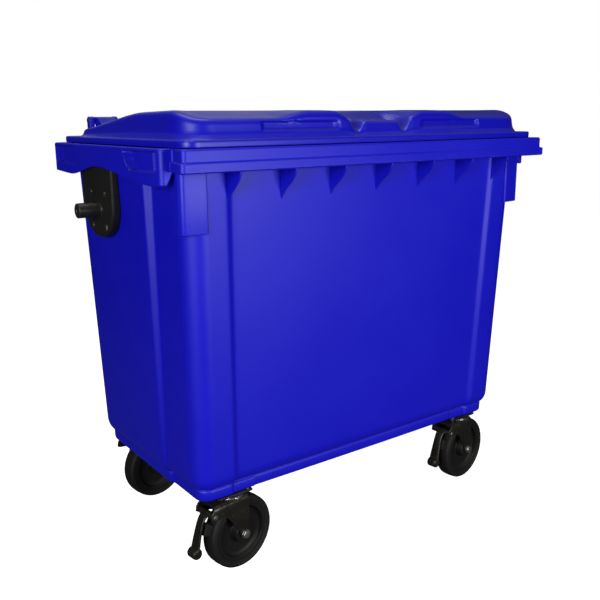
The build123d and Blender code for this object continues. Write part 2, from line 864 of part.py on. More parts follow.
def make_drain_seal():
    """Flat ring between the plug's flange and the floor."""
    with BuildPart() as seal:
        with BuildSketch(Plane.XY.offset(base_z)):
            with Locations((0, drain_y)):
                Circle(drain_flange_r - drain_seal_inset)
                Circle(drain_r + drain_seal_play, mode=Mode.SUBTRACT)
        extrude(amount=drain_plug_play - drain_seal_t)
    return seal.part


def make_top_plate():
    """Square plate of a castor, bolted under the tub floor."""
    with BuildPart() as plate:
        with BuildSketch(Plane.XY.offset(plate_z)):
            RectangleRounded(top_plate[0], top_plate[1], step_r)
            Circle(kingpin_r, mode=Mode.SUBTRACT)
            with GridLocations(*plate_bolt_spacing, 2, 2):
                Circle(bolt_r, mode=Mode.SUBTRACT)
        extrude(amount=top_plate[2])
    return plate.part


def make_plate_bolts():
    """Four low-headed bolts up through the plate into the boss."""
    with BuildPart() as bolts:
        for radius, start, length in (
            (bolt_r, plate_z, top_plate[2] + bolt_grip),
            (bolt_head_r, plate_z - bolt_head_t, bolt_head_t),
        ):
            with BuildSketch(Plane.XY.offset(start)):
                with GridLocations(*plate_bolt_spacing, 2, 2):
                    Circle(radius)
            extrude(amount=length)
    return bolts.part


def make_ball_race():
    """Ring that the fork's crown turns against."""
    with BuildPart() as race:
        with BuildSketch(Plane.XY.offset(race_z)):
            Circle(race_r)
            Circle(race_bore, mode=Mode.SUBTRACT)
        extrude(amount=race_t)
    return race.part


def make_kingpin():
    """Fixed pin of the swivel: head under the crown, shank up through the top plate."""
    head_z = crown_low_z - swivel_gap - kingpin_head_t
    with BuildPart() as kingpin:
        with BuildSketch(Plane.XY.offset(head_z)):
            Circle(kingpin_head_r)
        extrude(amount=kingpin_head_t)
        with BuildSketch(Plane.XY.offset(head_z)):
            Circle(kingpin_r)
        extrude(amount=base_z - head_z)
    return kingpin.part


def make_fork():
    """Pressed fork: a crown plate and two legs that reach forward for the brake."""
    foot_left = trail - fork_foot_r
    leg = [
        (-crown_front, crown_z),
        (crown_rear, crown_z),
        (trail + fork_foot_r, axle_z),
        (trail + fork_foot_r, axle_z - fork_foot_r),
        (foot_left - fork_foot_lean, axle_z - fork_foot_r),
        (foot_left - 2 * fork_foot_lean, axle_z + fork_foot_r),
        (fork_knee[0], crown_z - fork_knee[1]),
        (fork_toe[0] - pedal_eye_r, crown_z - pivot_drop - pedal_eye_r),
        (-crown_front, crown_z - pivot_drop),
    ]
    foot_radii = [0.9 * fork_foot_r, 0.75 * fork_foot_r]
    radii = [0, 0, 0, *foot_radii, 2 * step_r, 2 * step_r, step_r, step_r]
    reach = fork_gap + fork_t
    with BuildPart() as fork:
        for side in (-1, 1):
            with BuildSketch(Plane.XZ.offset(side * fork_gap)):
                with BuildLine():
                    FilletPolyline(*leg, radius=radii, close=True)
                make_face()
            extrude(amount=side * fork_t)
        with BuildSketch(Plane.XY.offset(crown_low_z)):
            with Locations(((crown_rear - crown_front) / 2, 0)):
                Rectangle(crown_front + crown_rear, 2 * reach)
            Circle(race_r + crown_lip)
        extrude(amount=crown_t)
        with BuildSketch(Plane.XY.offset(crown_low_z)):
            Circle(kingpin_r + kingpin_play)
        extrude(amount=crown_t, mode=Mode.SUBTRACT)
        for x, z, radius in ((trail, axle_z, axle_r), (pivot_x, crown_z - pivot_drop, pivot_r)):
            with BuildSketch(Plane.XZ.offset(-reach)):
                with Locations((x, z)):
                    Circle(radius)
            extrude(amount=2 * reach, mode=Mode.SUBTRACT)
    return fork.part


def cross_pin(x, z, radius, head_r, head_t):
    """A pin across the fork with a head at each end."""
    reach = fork_gap + fork_t
    with BuildPart() as pin:
        with BuildSketch(Plane.XZ.offset(-reach)):
            with Locations((x, z)):
                Circle(radius)
        extrude(amount=2 * reach)
        for start in (-reach - head_t, reach):
            with BuildSketch(Plane.XZ.offset(start)):
                with Locations((x, z)):
                    RegularPolygon(head_r, 6)
            extrude(amount=head_t)
    return pin.part


def wheel_ring(points, radii):
    """A ring about the axle from a closed profile of (radius, place along the axle)."""
    with BuildPart() as ring:
        with BuildSketch(Plane.XY):
            with BuildLine():
                FilletPolyline(*points, radius=radii, close=True)
            make_face()
        revolve(axis=Axis.Y)
    wheel_axis = Location((trail, 0, axle_z))
    return ring.part.moved(wheel_axis)


def make_tyre():
    """Solid rubber tyre with rounded shoulders."""
    outer_r = wheel_diameter / 2
    inner_r = outer_r - tyre_wall
    half = tyre_width / 2
    points = [(inner_r, -half), (outer_r, -half), (outer_r, half), (inner_r, half)]
    return wheel_ring(points, [tyre_bead_r, tyre_round, tyre_round, tyre_bead_r])


def make_hub():
    """Wheel centre: rim, web and boss in one moulding."""
    rim_r = wheel_diameter / 2 - tyre_wall
    inner_rim_r = rim_r - hub_rim_t
    web = hub_web_t / 2
    side = [
        (bush_r, hub_boss_width / 2),
        (hub_boss_r, hub_boss_width / 2),
        (hub_boss_r + hub_fillet, web),
        (inner_rim_r - hub_fillet, web),
        (inner_rim_r, hub_rim_width / 2),
        (rim_r, hub_rim_width / 2),
    ]
    points = side + [(r, -y) for r, y in reversed(side)]
    radii = [0, hub_edge_r, hub_fillet, hub_fillet, hub_edge_r / 2, 0]
    return wheel_ring(points, radii + radii[::-1])


def make_bush():
    """Bearing sleeve pressed in the boss, running on the axle."""
    half = hub_boss_width / 2
    bore = axle_r + axle_play
    return wheel_ring([(bore, -half), (bush_r, -half), (bush_r, half), (bore, half)], [0, 0, 0, 0])


def about_axle(reach, angle):
    """A point at a distance from the tread, at an angle about the axle, as (x, z)."""
    radius = wheel_diameter / 2 + reach
    return (trail + radius * cos(radians(angle)), axle_z + radius * sin(radians(angle)))


def make_pedal():
    """Foot pedal: a curved arm from the pivot down to a round pad."""
    pivot_z = crown_z - pivot_drop
    pedal_knee = about_axle(pedal_knee_reach, pedal_knee_angle)
    pedal_tip = about_axle(pedal_tip_reach, pedal_tip_angle)
    arm = [
        (pivot_x - pedal_t, pivot_z),
        (pedal_knee[0] - pedal_t, pedal_knee[1]),
        (pedal_tip[0] - pedal_t / 2, pedal_tip[1]),
        (pedal_tip[0] + pedal_t, pedal_tip[1]),
        (pedal_knee[0] + pedal_t / 2, pedal_knee[1] - pedal_t / 2),
        (pivot_x + pedal_t / 3, pivot_z),
    ]
    radii = [0, 2 * pedal_t, pedal_edge_r, pedal_edge_r, 2 * pedal_t, 0]
    with BuildPart() as pedal:
        with BuildSketch(Plane.XZ.offset(-pedal_half_w)):
            with BuildLine():
                FilletPolyline(*arm, radius=radii, close=True)
            make_face()
        extrude(amount=2 * pedal_half_w)
        with BuildSketch(Plane.XZ.offset(-pedal_half_w)):
            with Locations(pedal_tip):
                Circle(pedal_tip_r)
        extrude(amount=2 * pedal_half_w)
        with BuildSketch(Plane.XZ.offset(pedal_side_play - fork_gap)):
            with Locations((pivot_x, pivot_z)):
                Circle(pedal_eye_r)
        extrude(amount=2 * (fork_gap - pedal_side_play))
        with BuildSketch(Plane.XZ.offset(-fork_gap)):
            with Locations((pivot_x, pivot_z)):
                Circle(pivot_r + pivot_play)
        extrude(amount=2 * fork_gap, mode=Mode.SUBTRACT)
    return pedal.part


def make_shoe(pedal):
    """Brake shoe: a curved block on the pedal arm, just off the tread."""
    low = shoe_angle - shoe_half_angle
    high = shoe_angle + shoe_half_angle
    inner = [about_axle(shoe_gap, angle) for angle in (low, shoe_angle, high)]
    outer = [about_axle(shoe_gap + shoe_t, angle) for angle in (low, shoe_angle, high)]
    with BuildPart() as shoe:
        with BuildSketch(Plane.XZ.offset(-shoe_half_w)):
            with BuildLine():
                ThreePointArc(*inner)
                ThreePointArc(*outer)
                Line(inner[0], outer[0])
                Line(inner[2], outer[2])
            make_face()
        extrude(amount=2 * shoe_half_w)
        add(pedal, mode=Mode.SUBTRACT)
    return shoe.part


outer_body = tub_body(0.0, base_z, rim_z)
save(make_tub(outer_body), "tub")
save(make_lid(), "lid")
save(make_drain_plug(), "drain_plug")
save(make_drain_seal(), "drain_seal")

left_pieces = {
    "hinge_pin": make_hinge_pin(),
    "trunnion_plate": make_trunnion_plate(outer_body),
    "trunnion_pin": make_trunnion_pin(),
    "trunnion_backing": make_backing_plate(),
    "trunnion_bolts": make_trunnion_bolts(),
}
for piece_name, left_piece in left_pieces.items():
    save(left_piece, f"{piece_name}_left")
    save(mirror(left_piece, about=Plane.YZ), f"{piece_name}_right")

fixed_pieces = {
    "top_plate": make_top_plate(),
    "plate_bolts": make_plate_bolts(),
    "ball_race": make_ball_race(),
    "kingpin": make_kingpin(),
}
swivel_pieces = {
    "fork": make_fork(),
    "axle": cross_pin(trail, axle_z, axle_r, axle_head_r, axle_head_t),
    "wheel_hub": make_hub(),
    "tyre": make_tyre(),
    "wheel_bush": make_bush(),
}
brake_pedal = make_pedal()
brake_pieces = {
    "brake_pedal": brake_pedal,
    "brake_pin": cross_pin(pivot_x, crown_z - pivot_drop, pivot_r, pivot_head_r, pivot_head_t),
    "brake_shoe": make_shoe(brake_pedal),
}
for station, station_x, station_y in castor_stations():
    fixed_place = Location((station_x, station_y, 0))
    swivel_place = Location((station_x, station_y, 0), (0, 0, castor_yaw))
    turned_pieces = dict(swivel_pieces)
    if station.startswith("front"):
        turned_pieces.update(brake_pieces)
    for piece_name, piece in fixed_pieces.items():
        save(piece.moved(fixed_place), f"{station}_{piece_name}")
    for piece_name, piece in turned_pieces.items():
        save(piece.moved(swivel_place), f"{station}_{piece_name}")
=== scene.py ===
import math
import bpy
import bmesh
import numpy as np
from mathutils import Matrix, Vector


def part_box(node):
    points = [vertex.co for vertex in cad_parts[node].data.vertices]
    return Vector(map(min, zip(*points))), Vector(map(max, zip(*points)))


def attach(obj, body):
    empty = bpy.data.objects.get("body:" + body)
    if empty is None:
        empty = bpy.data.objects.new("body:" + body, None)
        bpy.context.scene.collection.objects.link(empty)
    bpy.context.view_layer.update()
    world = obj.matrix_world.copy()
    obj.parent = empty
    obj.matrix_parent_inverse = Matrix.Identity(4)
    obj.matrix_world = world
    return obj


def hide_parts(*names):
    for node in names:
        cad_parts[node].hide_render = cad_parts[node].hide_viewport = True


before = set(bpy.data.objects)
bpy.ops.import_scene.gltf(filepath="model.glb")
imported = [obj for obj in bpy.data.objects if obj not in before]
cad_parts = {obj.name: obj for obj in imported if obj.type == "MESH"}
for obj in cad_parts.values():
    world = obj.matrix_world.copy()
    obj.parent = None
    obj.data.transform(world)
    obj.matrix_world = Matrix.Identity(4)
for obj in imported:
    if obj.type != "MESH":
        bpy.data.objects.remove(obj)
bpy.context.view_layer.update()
tubLow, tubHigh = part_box("tub")
lidLow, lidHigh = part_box("lid")

# where the tub stands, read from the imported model
lidGap = 0.002
rimTop = lidLow.z - lidGap
floorUnder = tubLow.z
skirtX = tubHigh.x
rearY = tubHigh.y
frontY = tubLow.y


# A smooth step: 0 below -1, 1 above 1, and 3 s squared less 2 s cubed between.
def softStep(value):
    share = np.clip(value / 2 + 0.5, 0, 1)
    return share * share * (3 - 2 * share)


# A line through the given stations that eases in and out of each one by a soft step.
def easedLine(value, stations, heights):
    value = np.asarray(value, float)
    stations = np.asarray(stations, float)
    heights = np.asarray(heights, float)
    slot = np.clip(np.searchsorted(stations, value) - 1, 0, len(stations) - 2)
    span = stations[slot + 1] - stations[slot]
    share = softStep(2 * (value - stations[slot]) / span - 1)
    return heights[slot] + (heights[slot + 1] - heights[slot]) * share


# Each vector divided by its own length.
def unit(vectors):
    length = np.linalg.norm(vectors, axis=-1, keepdims=True)
    return vectors / np.maximum(length, 1e-12)


# A closed outline with every corner an arc. The arc is the circle as a weighted Bezier curve:
# ((1-s)^2 A + 2 s (1-s) w C + s^2 B) over the sum of its weights, w the cosine of half the turn.
def roundedOutline(corners, reaches, arcCounts, sideCounts):
    corners = np.asarray(corners, float)
    ahead = unit(np.roll(corners, -1, 0) - corners)
    behind = unit(corners - np.roll(corners, 1, 0))
    weight = np.sqrt(np.clip((1 + (ahead * behind).sum(1)) / 2, 0, 1))
    reach = np.asarray(reaches, float)[:, None]
    start = corners - behind * reach
    end = corners + ahead * reach
    stretches = []
    for index in range(len(corners)):
        s = np.linspace(0, 1, arcCounts[index])[:, None]
        parts = [(1 - s) ** 2, 2 * s * (1 - s) * weight[index], s ** 2]
        arc = parts[0] * start[index] + parts[1] * corners[index] + parts[2] * end[index]
        stretches.append(arc / (parts[0] + parts[1] + parts[2]))
        t = np.linspace(0, 1, sideCounts[index] + 2)[1:-1, None]
        following = start[(index + 1) % len(corners)]
        stretches.append(end[index] + (following - end[index]) * t)
    return np.concatenate(stretches)


# An outline stepped inwards: each point moves along the bisector of its two sides.
def steppedIn(outline, distance):
    behind = unit(outline - np.roll(outline, 1, 0))
    ahead = unit(np.roll(outline, -1, 0) - outline)
    along = behind + ahead
    half = np.maximum(np.linalg.norm(along, axis=1, keepdims=True) / 2, 0.5)
    along = unit(along)
    inward = np.stack([-along[:, 1], along[:, 0]], 1)
    area = (outline[:, 0] * np.roll(outline[:, 1], -1) - np.roll(outline[:, 0], -1) * outline[:, 1]).sum()
    return outline + inward * np.sign(area) * distance / half


# Faces of a stack of rings: ring i, step j joins ring i + 1, step j + 1. Ends are closed by one face each.
def ringSurface(rings, closed=False, caps=True):
    rings = np.asarray(rings, float)
    rows, steps = rings.shape[:2]
    index = np.arange(rows * steps).reshape(rows, steps)
    lower = index if closed else index[:-1]
    upper = np.roll(index, -1, 0) if closed else index[1:]
    quads = np.stack([lower, np.roll(lower, -1, 1), np.roll(upper, -1, 1), upper], -1).reshape(-1, 4)
    points = rings.reshape(-1, 3)
    middle = points.mean(0)
    a, b, c, d = (points[quads[:, k]] - middle for k in range(4))
    volume = (np.cross(b - a, c - a) * a).sum() + (np.cross(c - a, d - a) * a).sum()
    faces = (quads[:, ::-1] if volume < 0 else quads).tolist()
    if caps and not closed:
        ends = [index[0][::-1].tolist(), index[-1].tolist()]
        faces += [end[::-1] if volume < 0 else end for end in ends]
    return points, faces


# A plate: an outline carried through its thickness, its edges rounded by a quarter circle.
# basis turns (along, across, through) into x, y, z; low and high may differ from point to point.
def slab(outline, low, high, edge, origin=(0, 0, 0), basis=np.eye(3), steps=4):
    angles = np.linspace(0, math.pi / 2, steps)
    rings = []
    for angle in angles:
        rings.append((edge * (1 - math.sin(angle)), low + edge * (1 - math.cos(angle))))
    for angle in angles[::-1]:
        rings.append((edge * (1 - math.sin(angle)), high - edge * (1 - math.cos(angle))))
    stack = []
    for inset, level in rings:
        flat = steppedIn(outline, inset)
        level = np.broadcast_to(level, len(flat))
        stack.append(np.column_stack([flat, level]))
    return ringSurface(np.array(stack) @ np.asarray(basis, float) + np.asarray(origin, float))


# A turned form: a profile of (radius, place along the axle) swept round the axle.
def turned(profile, origin, axle, steps=48, closed=False):
    axle = unit(np.asarray(axle, float))
    helper = np.array([0.0, 0.0, 1.0]) if abs(axle[2]) < 0.9 else np.array([1.0, 0.0, 0.0])
    first = unit(np.cross(axle, helper))
    second = np.cross(axle, first)
    turn = np.linspace(0, 2 * math.pi, steps, endpoint=False)
    spoke = np.cos(turn)[:, None] * first + np.sin(turn)[:, None] * second
    radius, place = np.asarray(profile, float).T
    rings = radius[:, None, None] * spoke + place[:, None, None] * axle + np.asarray(origin, float)
    return ringSurface(rings, closed=closed)


# A closed profile of straight runs whose corners are cut by small arcs.
def softProfile(points, reaches):
    return roundedOutline(points, reaches, [5] * len(points), [2] * len(points))


# One mesh from several surfaces, in place, smooth but for edges sharper than the given angle.
def makePiece(name, surfaces, material, body, nodes, sharp=35):
    points = []
    faces = []
    count = 0
    for surface, sides in surfaces:
        points.append(surface)
        faces += [[corner + count for corner in side] for side in sides]
        count += len(surface)
    mesh = bpy.data.meshes.new(name)
    mesh.from_pydata(np.concatenate(points).tolist(), [], faces)
    work = bmesh.new()
    work.from_mesh(mesh)
    bmesh.ops.remove_doubles(work, verts=work.verts, dist=2e-6)
    bmesh.ops.dissolve_degenerate(work, edges=work.edges, dist=1e-6)
    work.to_mesh(mesh)
    work.free()
    mesh.shade_smooth()
    mesh.set_sharp_from_angle(angle=math.radians(sharp))
    piece = bpy.data.objects.new(name, mesh)
    bpy.context.scene.collection.objects.link(piece)
    mesh.materials.append(material)
    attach(piece, body)
    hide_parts(*nodes)
    return piece


# Left-hand corners mirrored to the right, in order round the outline.
def bothSides(left):
    return left + [(-x, y) for x, y in reversed(left)]


# An empty shader group with the named sockets; gives the group and its two end nodes.
def newGroup(name, inputs, outputs):
    group = bpy.data.node_groups.new(name, "ShaderNodeTree")
    for label, kind, value in inputs:
        socket = group.interface.new_socket(label, in_out="INPUT", socket_type=kind)
        socket.default_value = value
    for label, kind in outputs:
        group.interface.new_socket(label, in_out="OUTPUT", socket_type=kind)
    return group, group.nodes.new("NodeGroupInput"), group.nodes.new("NodeGroupOutput")


# A node with its settings made; an input is either linked to a socket or set to a value.
def addNode(tree, kind, settings=None, inputs=None):
    node = tree.nodes.new(kind)
    for key, value in (settings or {}).items():
        setattr(node, key, value)
    for key, value in (inputs or {}).items():
        if hasattr(value, "is_output"):
            tree.links.new(value, node.inputs[key])
        else:
            node.inputs[key].default_value = value
    return node


# Fine pitted grain of a moulded skin as small noise, plus sparse bright specks: on plastic and rubber the
# specks are painted glints, on the steels they are real flecks.
def makeGrainGlintAndFleckGroup():
    group, source, result = newGroup(
        "mouldedGrain",
        [("Scale", "NodeSocketFloat", 900.0), ("Speck Scale", "NodeSocketFloat", 520.0)],
        [("Height", "NodeSocketFloat"), ("Speck", "NodeSocketFloat")],
    )
    place = addNode(group, "ShaderNodeTexCoord")
    fine = addNode(group, "ShaderNodeTexNoise", inputs={
        "Vector": place.outputs["Object"], "Scale": source.outputs["Scale"],
        "Detail": 3.0, "Roughness": 0.6})
    speck = addNode(group, "ShaderNodeTexVoronoi", inputs={
        "Vector": place.outputs["Object"], "Scale": source.outputs["Speck Scale"]})
    spot = addNode(group, "ShaderNodeMapRange", inputs={
        "Value": speck.outputs["Distance"], "From Min": 0.12, "From Max": 0.28,
        "To Min": 1.0, "To Max": 0.0})
    pick = addNode(group, "ShaderNodeMath", {"operation": "GREATER_THAN"}, {1: 0.72})
    split = addNode(group, "ShaderNodeSeparateColor", inputs={"Color": speck.outputs["Color"]})
    group.links.new(split.outputs["Red"], pick.inputs[0])
    # the chosen specks: painted glints on plastic and rubber, real flecks on steel
    chosen = addNode(group, "ShaderNodeMath", {"operation": "MULTIPLY"}, {
        0: spot.outputs["Result"], 1: pick.outputs["Value"]})
    group.links.new(fine.outputs["Fac"], result.inputs["Height"])
    group.links.new(chosen.outputs["Value"], result.inputs["Speck"])
    return group


# Edge wear: how far a point stands out from its neighbours, broken up by noise.
def makeWearGroup():
    group, source, result = newGroup(
        "edgeWear",
        [("Start", "NodeSocketFloat", 0.53), ("End", "NodeSocketFloat", 0.62),
         ("Scale", "NodeSocketFloat", 60.0)],
        [("Mask", "NodeSocketFloat")],
    )
    shape = addNode(group, "ShaderNodeNewGeometry")
    place = addNode(group, "ShaderNodeTexCoord")
    edge = addNode(group, "ShaderNodeMapRange", inputs={
        "Value": shape.outputs["Pointiness"], "From Min": source.outputs["Start"],
        "From Max": source.outputs["End"]})
    noise = addNode(group, "ShaderNodeTexNoise", inputs={
        "Vector": place.outputs["Object"], "Scale": source.outputs["Scale"], "Detail": 5.0})
    patch = addNode(group, "ShaderNodeMapRange", inputs={
        "Value": noise.outputs["Fac"], "From Min": 0.42, "From Max": 0.62})
    both = addNode(group, "ShaderNodeMath", {"operation": "MULTIPLY"}, {
        0: edge.outputs["Result"], 1: patch.outputs["Result"]})
    group.links.new(both.outputs["Value"], result.inputs["Mask"])
    return group


# Dust and scuffs: large soft patches, more on faces that look up, and long thin scratches.
def makeDustGroup():
    group, source, result = newGroup(
        "dustAndScuffs",
        [("Scale", "NodeSocketFloat", 3.0), ("Upward", "NodeSocketFloat", 0.5)],
        [("Dust", "NodeSocketFloat"), ("Cloud", "NodeSocketFloat"), ("Scratch", "NodeSocketFloat")],
    )
    place = addNode(group, "ShaderNodeTexCoord")
    shape = addNode(group, "ShaderNodeNewGeometry")
    cloud = addNode(group, "ShaderNodeTexNoise", inputs={
        "Vector": place.outputs["Object"], "Scale": source.outputs["Scale"],
        "Detail": 6.0, "Roughness": 0.55})
    axes = addNode(group, "ShaderNodeSeparateXYZ", inputs={"Vector": shape.outputs["Normal"]})
    upward = addNode(group, "ShaderNodeMapRange", inputs={
        "Value": axes.outputs["Z"], "From Min": 0.3, "From Max": 1.0, "To Max": source.outputs["Upward"]})
    dust = addNode(group, "ShaderNodeMath", {"operation": "MULTIPLY"}, {
        0: upward.outputs["Result"], 1: cloud.outputs["Fac"]})
    stretched = addNode(group, "ShaderNodeMapping", inputs={
        "Vector": place.outputs["Object"], "Rotation": (0.3, 0.2, 0.5), "Scale": (3.0, 3.0, 90.0)})
    lines = addNode(group, "ShaderNodeTexNoise", inputs={
        "Vector": stretched.outputs["Vector"], "Scale": 4.0, "Detail": 4.0})
    scratch = addNode(group, "ShaderNodeMapRange", inputs={
        "Value": lines.outputs["Fac"], "From Min": 0.66, "From Max": 0.72})
    group.links.new(dust.outputs["Value"], result.inputs["Dust"])
    group.links.new(cloud.outputs["Fac"], result.inputs["Cloud"])
    group.links.new(scratch.outputs["Result"], result.inputs["Scratch"])
    return group


grainGlintAndFleckGroup = makeGrainGlintAndFleckGroup()
wearGroup = makeWearGroup()
dustGroup = makeDustGroup()


# A shared group placed in a material with its own values.
def placeGroup(tree, group, values):
    node = tree.nodes.new("ShaderNodeGroup")
    node.node_tree = group
    for key, value in values.items():
        node.inputs[key].default_value = value
    return node


# Low where the factor is 0, high where it is 1, and a straight mix between.
def mixColour(tree, factor, low, high):
    node = tree.nodes.new("ShaderNodeMix")
    node.data_type = "RGBA"
    for socket, value in ((node.inputs[0], factor), (node.inputs[6], low), (node.inputs[7], high)):
        if hasattr(value, "is_output"):
            tree.links.new(value, socket)
        else:
            socket.default_value = value
    return node.outputs[2]


# A finish: base colour with clouds, bright specks that are painted glints on plastic and rubber and real
# flecks on steel, worn edges and dust; roughness and bump from the same masks.
def makeFinish(name, look):
    material = bpy.data.materials.new(name)
    material.use_nodes = True
    tree = material.node_tree
    shader = tree.nodes["Principled BSDF"]
    grainGlintAndFleck = placeGroup(tree, grainGlintAndFleckGroup, {"Scale": look["grainScale"], "Speck Scale": look["speckScale"]})
    wear = placeGroup(tree, wearGroup, {"Start": look["wearFrom"], "End": look["wearTo"], "Scale": 60.0})
    dust = placeGroup(tree, dustGroup, {"Scale": look["cloudScale"], "Upward": look["dust"]})
    colour = mixColour(tree, dust.outputs["Cloud"], (*look["dark"], 1), (*look["light"], 1))
    # painted glints: specks of a lighter colour mixed into the base colour of plastic and rubber; on the
    # steels the same specks are real flecks
    speck = addNode(tree, "ShaderNodeMath", {"operation": "MULTIPLY"}, {
        0: grainGlintAndFleck.outputs["Speck"], 1: look["speck"]})
    colour = mixColour(tree, speck.outputs["Value"], colour, (*look["speckColour"], 1))
    worn = addNode(tree, "ShaderNodeMath", {"operation": "MULTIPLY"}, {
        0: wear.outputs["Mask"], 1: look["wear"]})
    colour = mixColour(tree, worn.outputs["Value"], colour, (*look["wornColour"], 1))
    colour = mixColour(tree, dust.outputs["Dust"], colour, (*look["dustColour"], 1))
    tree.links.new(colour, shader.inputs["Base Color"])
    rough = addNode(tree, "ShaderNodeMapRange", inputs={
        "Value": dust.outputs["Cloud"], "From Min": 0.3, "From Max": 0.7,
        "To Min": look["roughness"] - look["roughSpread"],
        "To Max": look["roughness"] + look["roughSpread"]})
    scratched = addNode(tree, "ShaderNodeMath", {"operation": "MULTIPLY_ADD", "use_clamp": True}, {
        0: dust.outputs["Scratch"], 1: look["scratch"], 2: rough.outputs["Result"]})
    tree.links.new(scratched.outputs["Value"], shader.inputs["Roughness"])
    relief = addNode(tree, "ShaderNodeBump", inputs={
        "Height": grainGlintAndFleck.outputs["Height"], "Strength": look["bump"], "Distance": look["bumpDepth"]})
    tree.links.new(relief.outputs["Normal"], shader.inputs["Normal"])
    shader.inputs["Metallic"].default_value = look["metallic"]
    shader.inputs["Specular IOR Level"].default_value = look["specular"]
    return material


# The speck colour of each look is a painted glint on plastic and rubber, and the colour of real flecks of
# metal on the steels.
plainLook = {
    "dark": (0.005, 0.005, 0.005), "light": (0.008, 0.008, 0.008), "speckColour": (0.10, 0.10, 0.09),
    "wornColour": (0.05, 0.05, 0.05), "dustColour": (0.10, 0.095, 0.085), "grainScale": 900.0,
    "speckScale": 420.0, "cloudScale": 5.0, "speck": 0.25, "wear": 0.5, "dust": 0.25, "roughness": 0.5,
    "roughSpread": 0.08, "scratch": 0.12, "bump": 0.25, "bumpDepth": 0.0006, "wearFrom": 0.53,
    "wearTo": 0.62, "metallic": 0.0, "specular": 0.22,
}
looks = {
    # on the blue plastics the speck colour is a lighter blue: painted glints
    "tubPlastic": {
        "dark": (0.0018, 0.0018, 0.39), "light": (0.0032, 0.0032, 0.46), "speckColour": (0.14, 0.14, 0.62),
        "wornColour": (0.06, 0.06, 0.55), "dustColour": (0.16, 0.16, 0.42), "grainScale": 1100.0,
        "speckScale": 260.0, "cloudScale": 2.2, "speck": 0.10, "wear": 0.45, "dust": 0.16,
        "roughness": 0.46, "roughSpread": 0.05, "bump": 0.22, "bumpDepth": 0.0005, "specular": 0.30,
    },
    "lidPlastic": {
        "dark": (0.0014, 0.0014, 0.31), "light": (0.0026, 0.0026, 0.38), "speckColour": (0.14, 0.14, 0.58),
        "wornColour": (0.06, 0.06, 0.55), "dustColour": (0.22, 0.22, 0.50), "grainScale": 1100.0,
        "speckScale": 300.0, "cloudScale": 3.0, "speck": 0.08, "wear": 0.4, "dust": 0.22,
        "roughness": 0.36, "roughSpread": 0.05, "bump": 0.2, "bumpDepth": 0.0005, "specular": 0.30,
    },
    "blackPlastic": {"roughness": 0.55, "speck": 0.3, "bump": 0.5, "bumpDepth": 0.0008, "grainScale": 700.0},
    "wheelPlastic": {"roughness": 0.48, "dark": (0.004, 0.004, 0.004), "light": (0.007, 0.007, 0.0065)},
    "sealRubber": {"roughness": 0.75, "speck": 0.0, "wear": 0.2},
    "tyreRubber": {
        "dark": (0.004, 0.004, 0.004), "light": (0.0065, 0.0065, 0.006), "roughness": 0.66,
        "dustColour": (0.05, 0.045, 0.036), "dust": 0.2, "wear": 0.6, "speck": 0.2, "bump": 0.35,
    },
    "forkSteel": {
        "dark": (0.017, 0.016, 0.013), "light": (0.032, 0.030, 0.025), "speckColour": (0.35, 0.34, 0.28),
        "wornColour": (0.42, 0.41, 0.36), "dustColour": (0.16, 0.14, 0.10), "grainScale": 420.0,
        "speckScale": 240.0, "cloudScale": 16.0, "speck": 0.35, "wear": 0.8, "dust": 0.25,
        "roughness": 0.42, "roughSpread": 0.10, "bump": 0.3, "metallic": 0.75,
    },
    "blackSteel": {
        "dark": (0.022, 0.021, 0.018), "light": (0.04, 0.038, 0.032), "speckColour": (0.4, 0.39, 0.33),
        "wornColour": (0.40, 0.39, 0.34), "grainScale": 500.0, "speckScale": 260.0, "cloudScale": 18.0,
        "speck": 0.4, "wear": 0.9, "roughness": 0.40, "roughSpread": 0.1, "metallic": 0.7,
    },
    "brightSteel": {
        "dark": (0.28, 0.28, 0.27), "light": (0.46, 0.46, 0.44), "speckColour": (0.16, 0.13, 0.10),
        "wornColour": (0.6, 0.6, 0.58), "dustColour": (0.2, 0.17, 0.13), "grainScale": 380.0,
        "speckScale": 300.0, "cloudScale": 22.0, "speck": 0.35, "wear": 0.5, "dust": 0.2,
        "roughness": 0.33, "roughSpread": 0.1, "bump": 0.15, "metallic": 1.0,
    },
}
finishes = {}
for finishName, changes in looks.items():
    finishes[finishName] = makeFinish(finishName, {**plainLook, **changes})
print("finishes made:", len(finishes))


tubForm = {
    "wall": 0.006, "floor": 0.007,
    "columnTop": 0.584, "columnBase": 0.564, "proudTop": 0.021, "proudBase": 0.008,
    "frontTop": -0.328, "frontBase": -0.290, "rearTop": 0.354, "rearBase": 0.346,
    "stepTop": -0.140, "stepBase": -0.104, "stepRun": 0.014,
    "columnWidth": 0.108, "recess": 0.008, "recessRun": 0.014,
    "frontCorner": 0.055, "rearCorner": 0.100, "crown": 0.0025,
    "plinthTop": 0.029, "plinthInset": 0.016, "grooveInset": 0.021, "roundTop": 0.070,
    "drainPlace": 0.210, "drainRadius": 0.040,
}


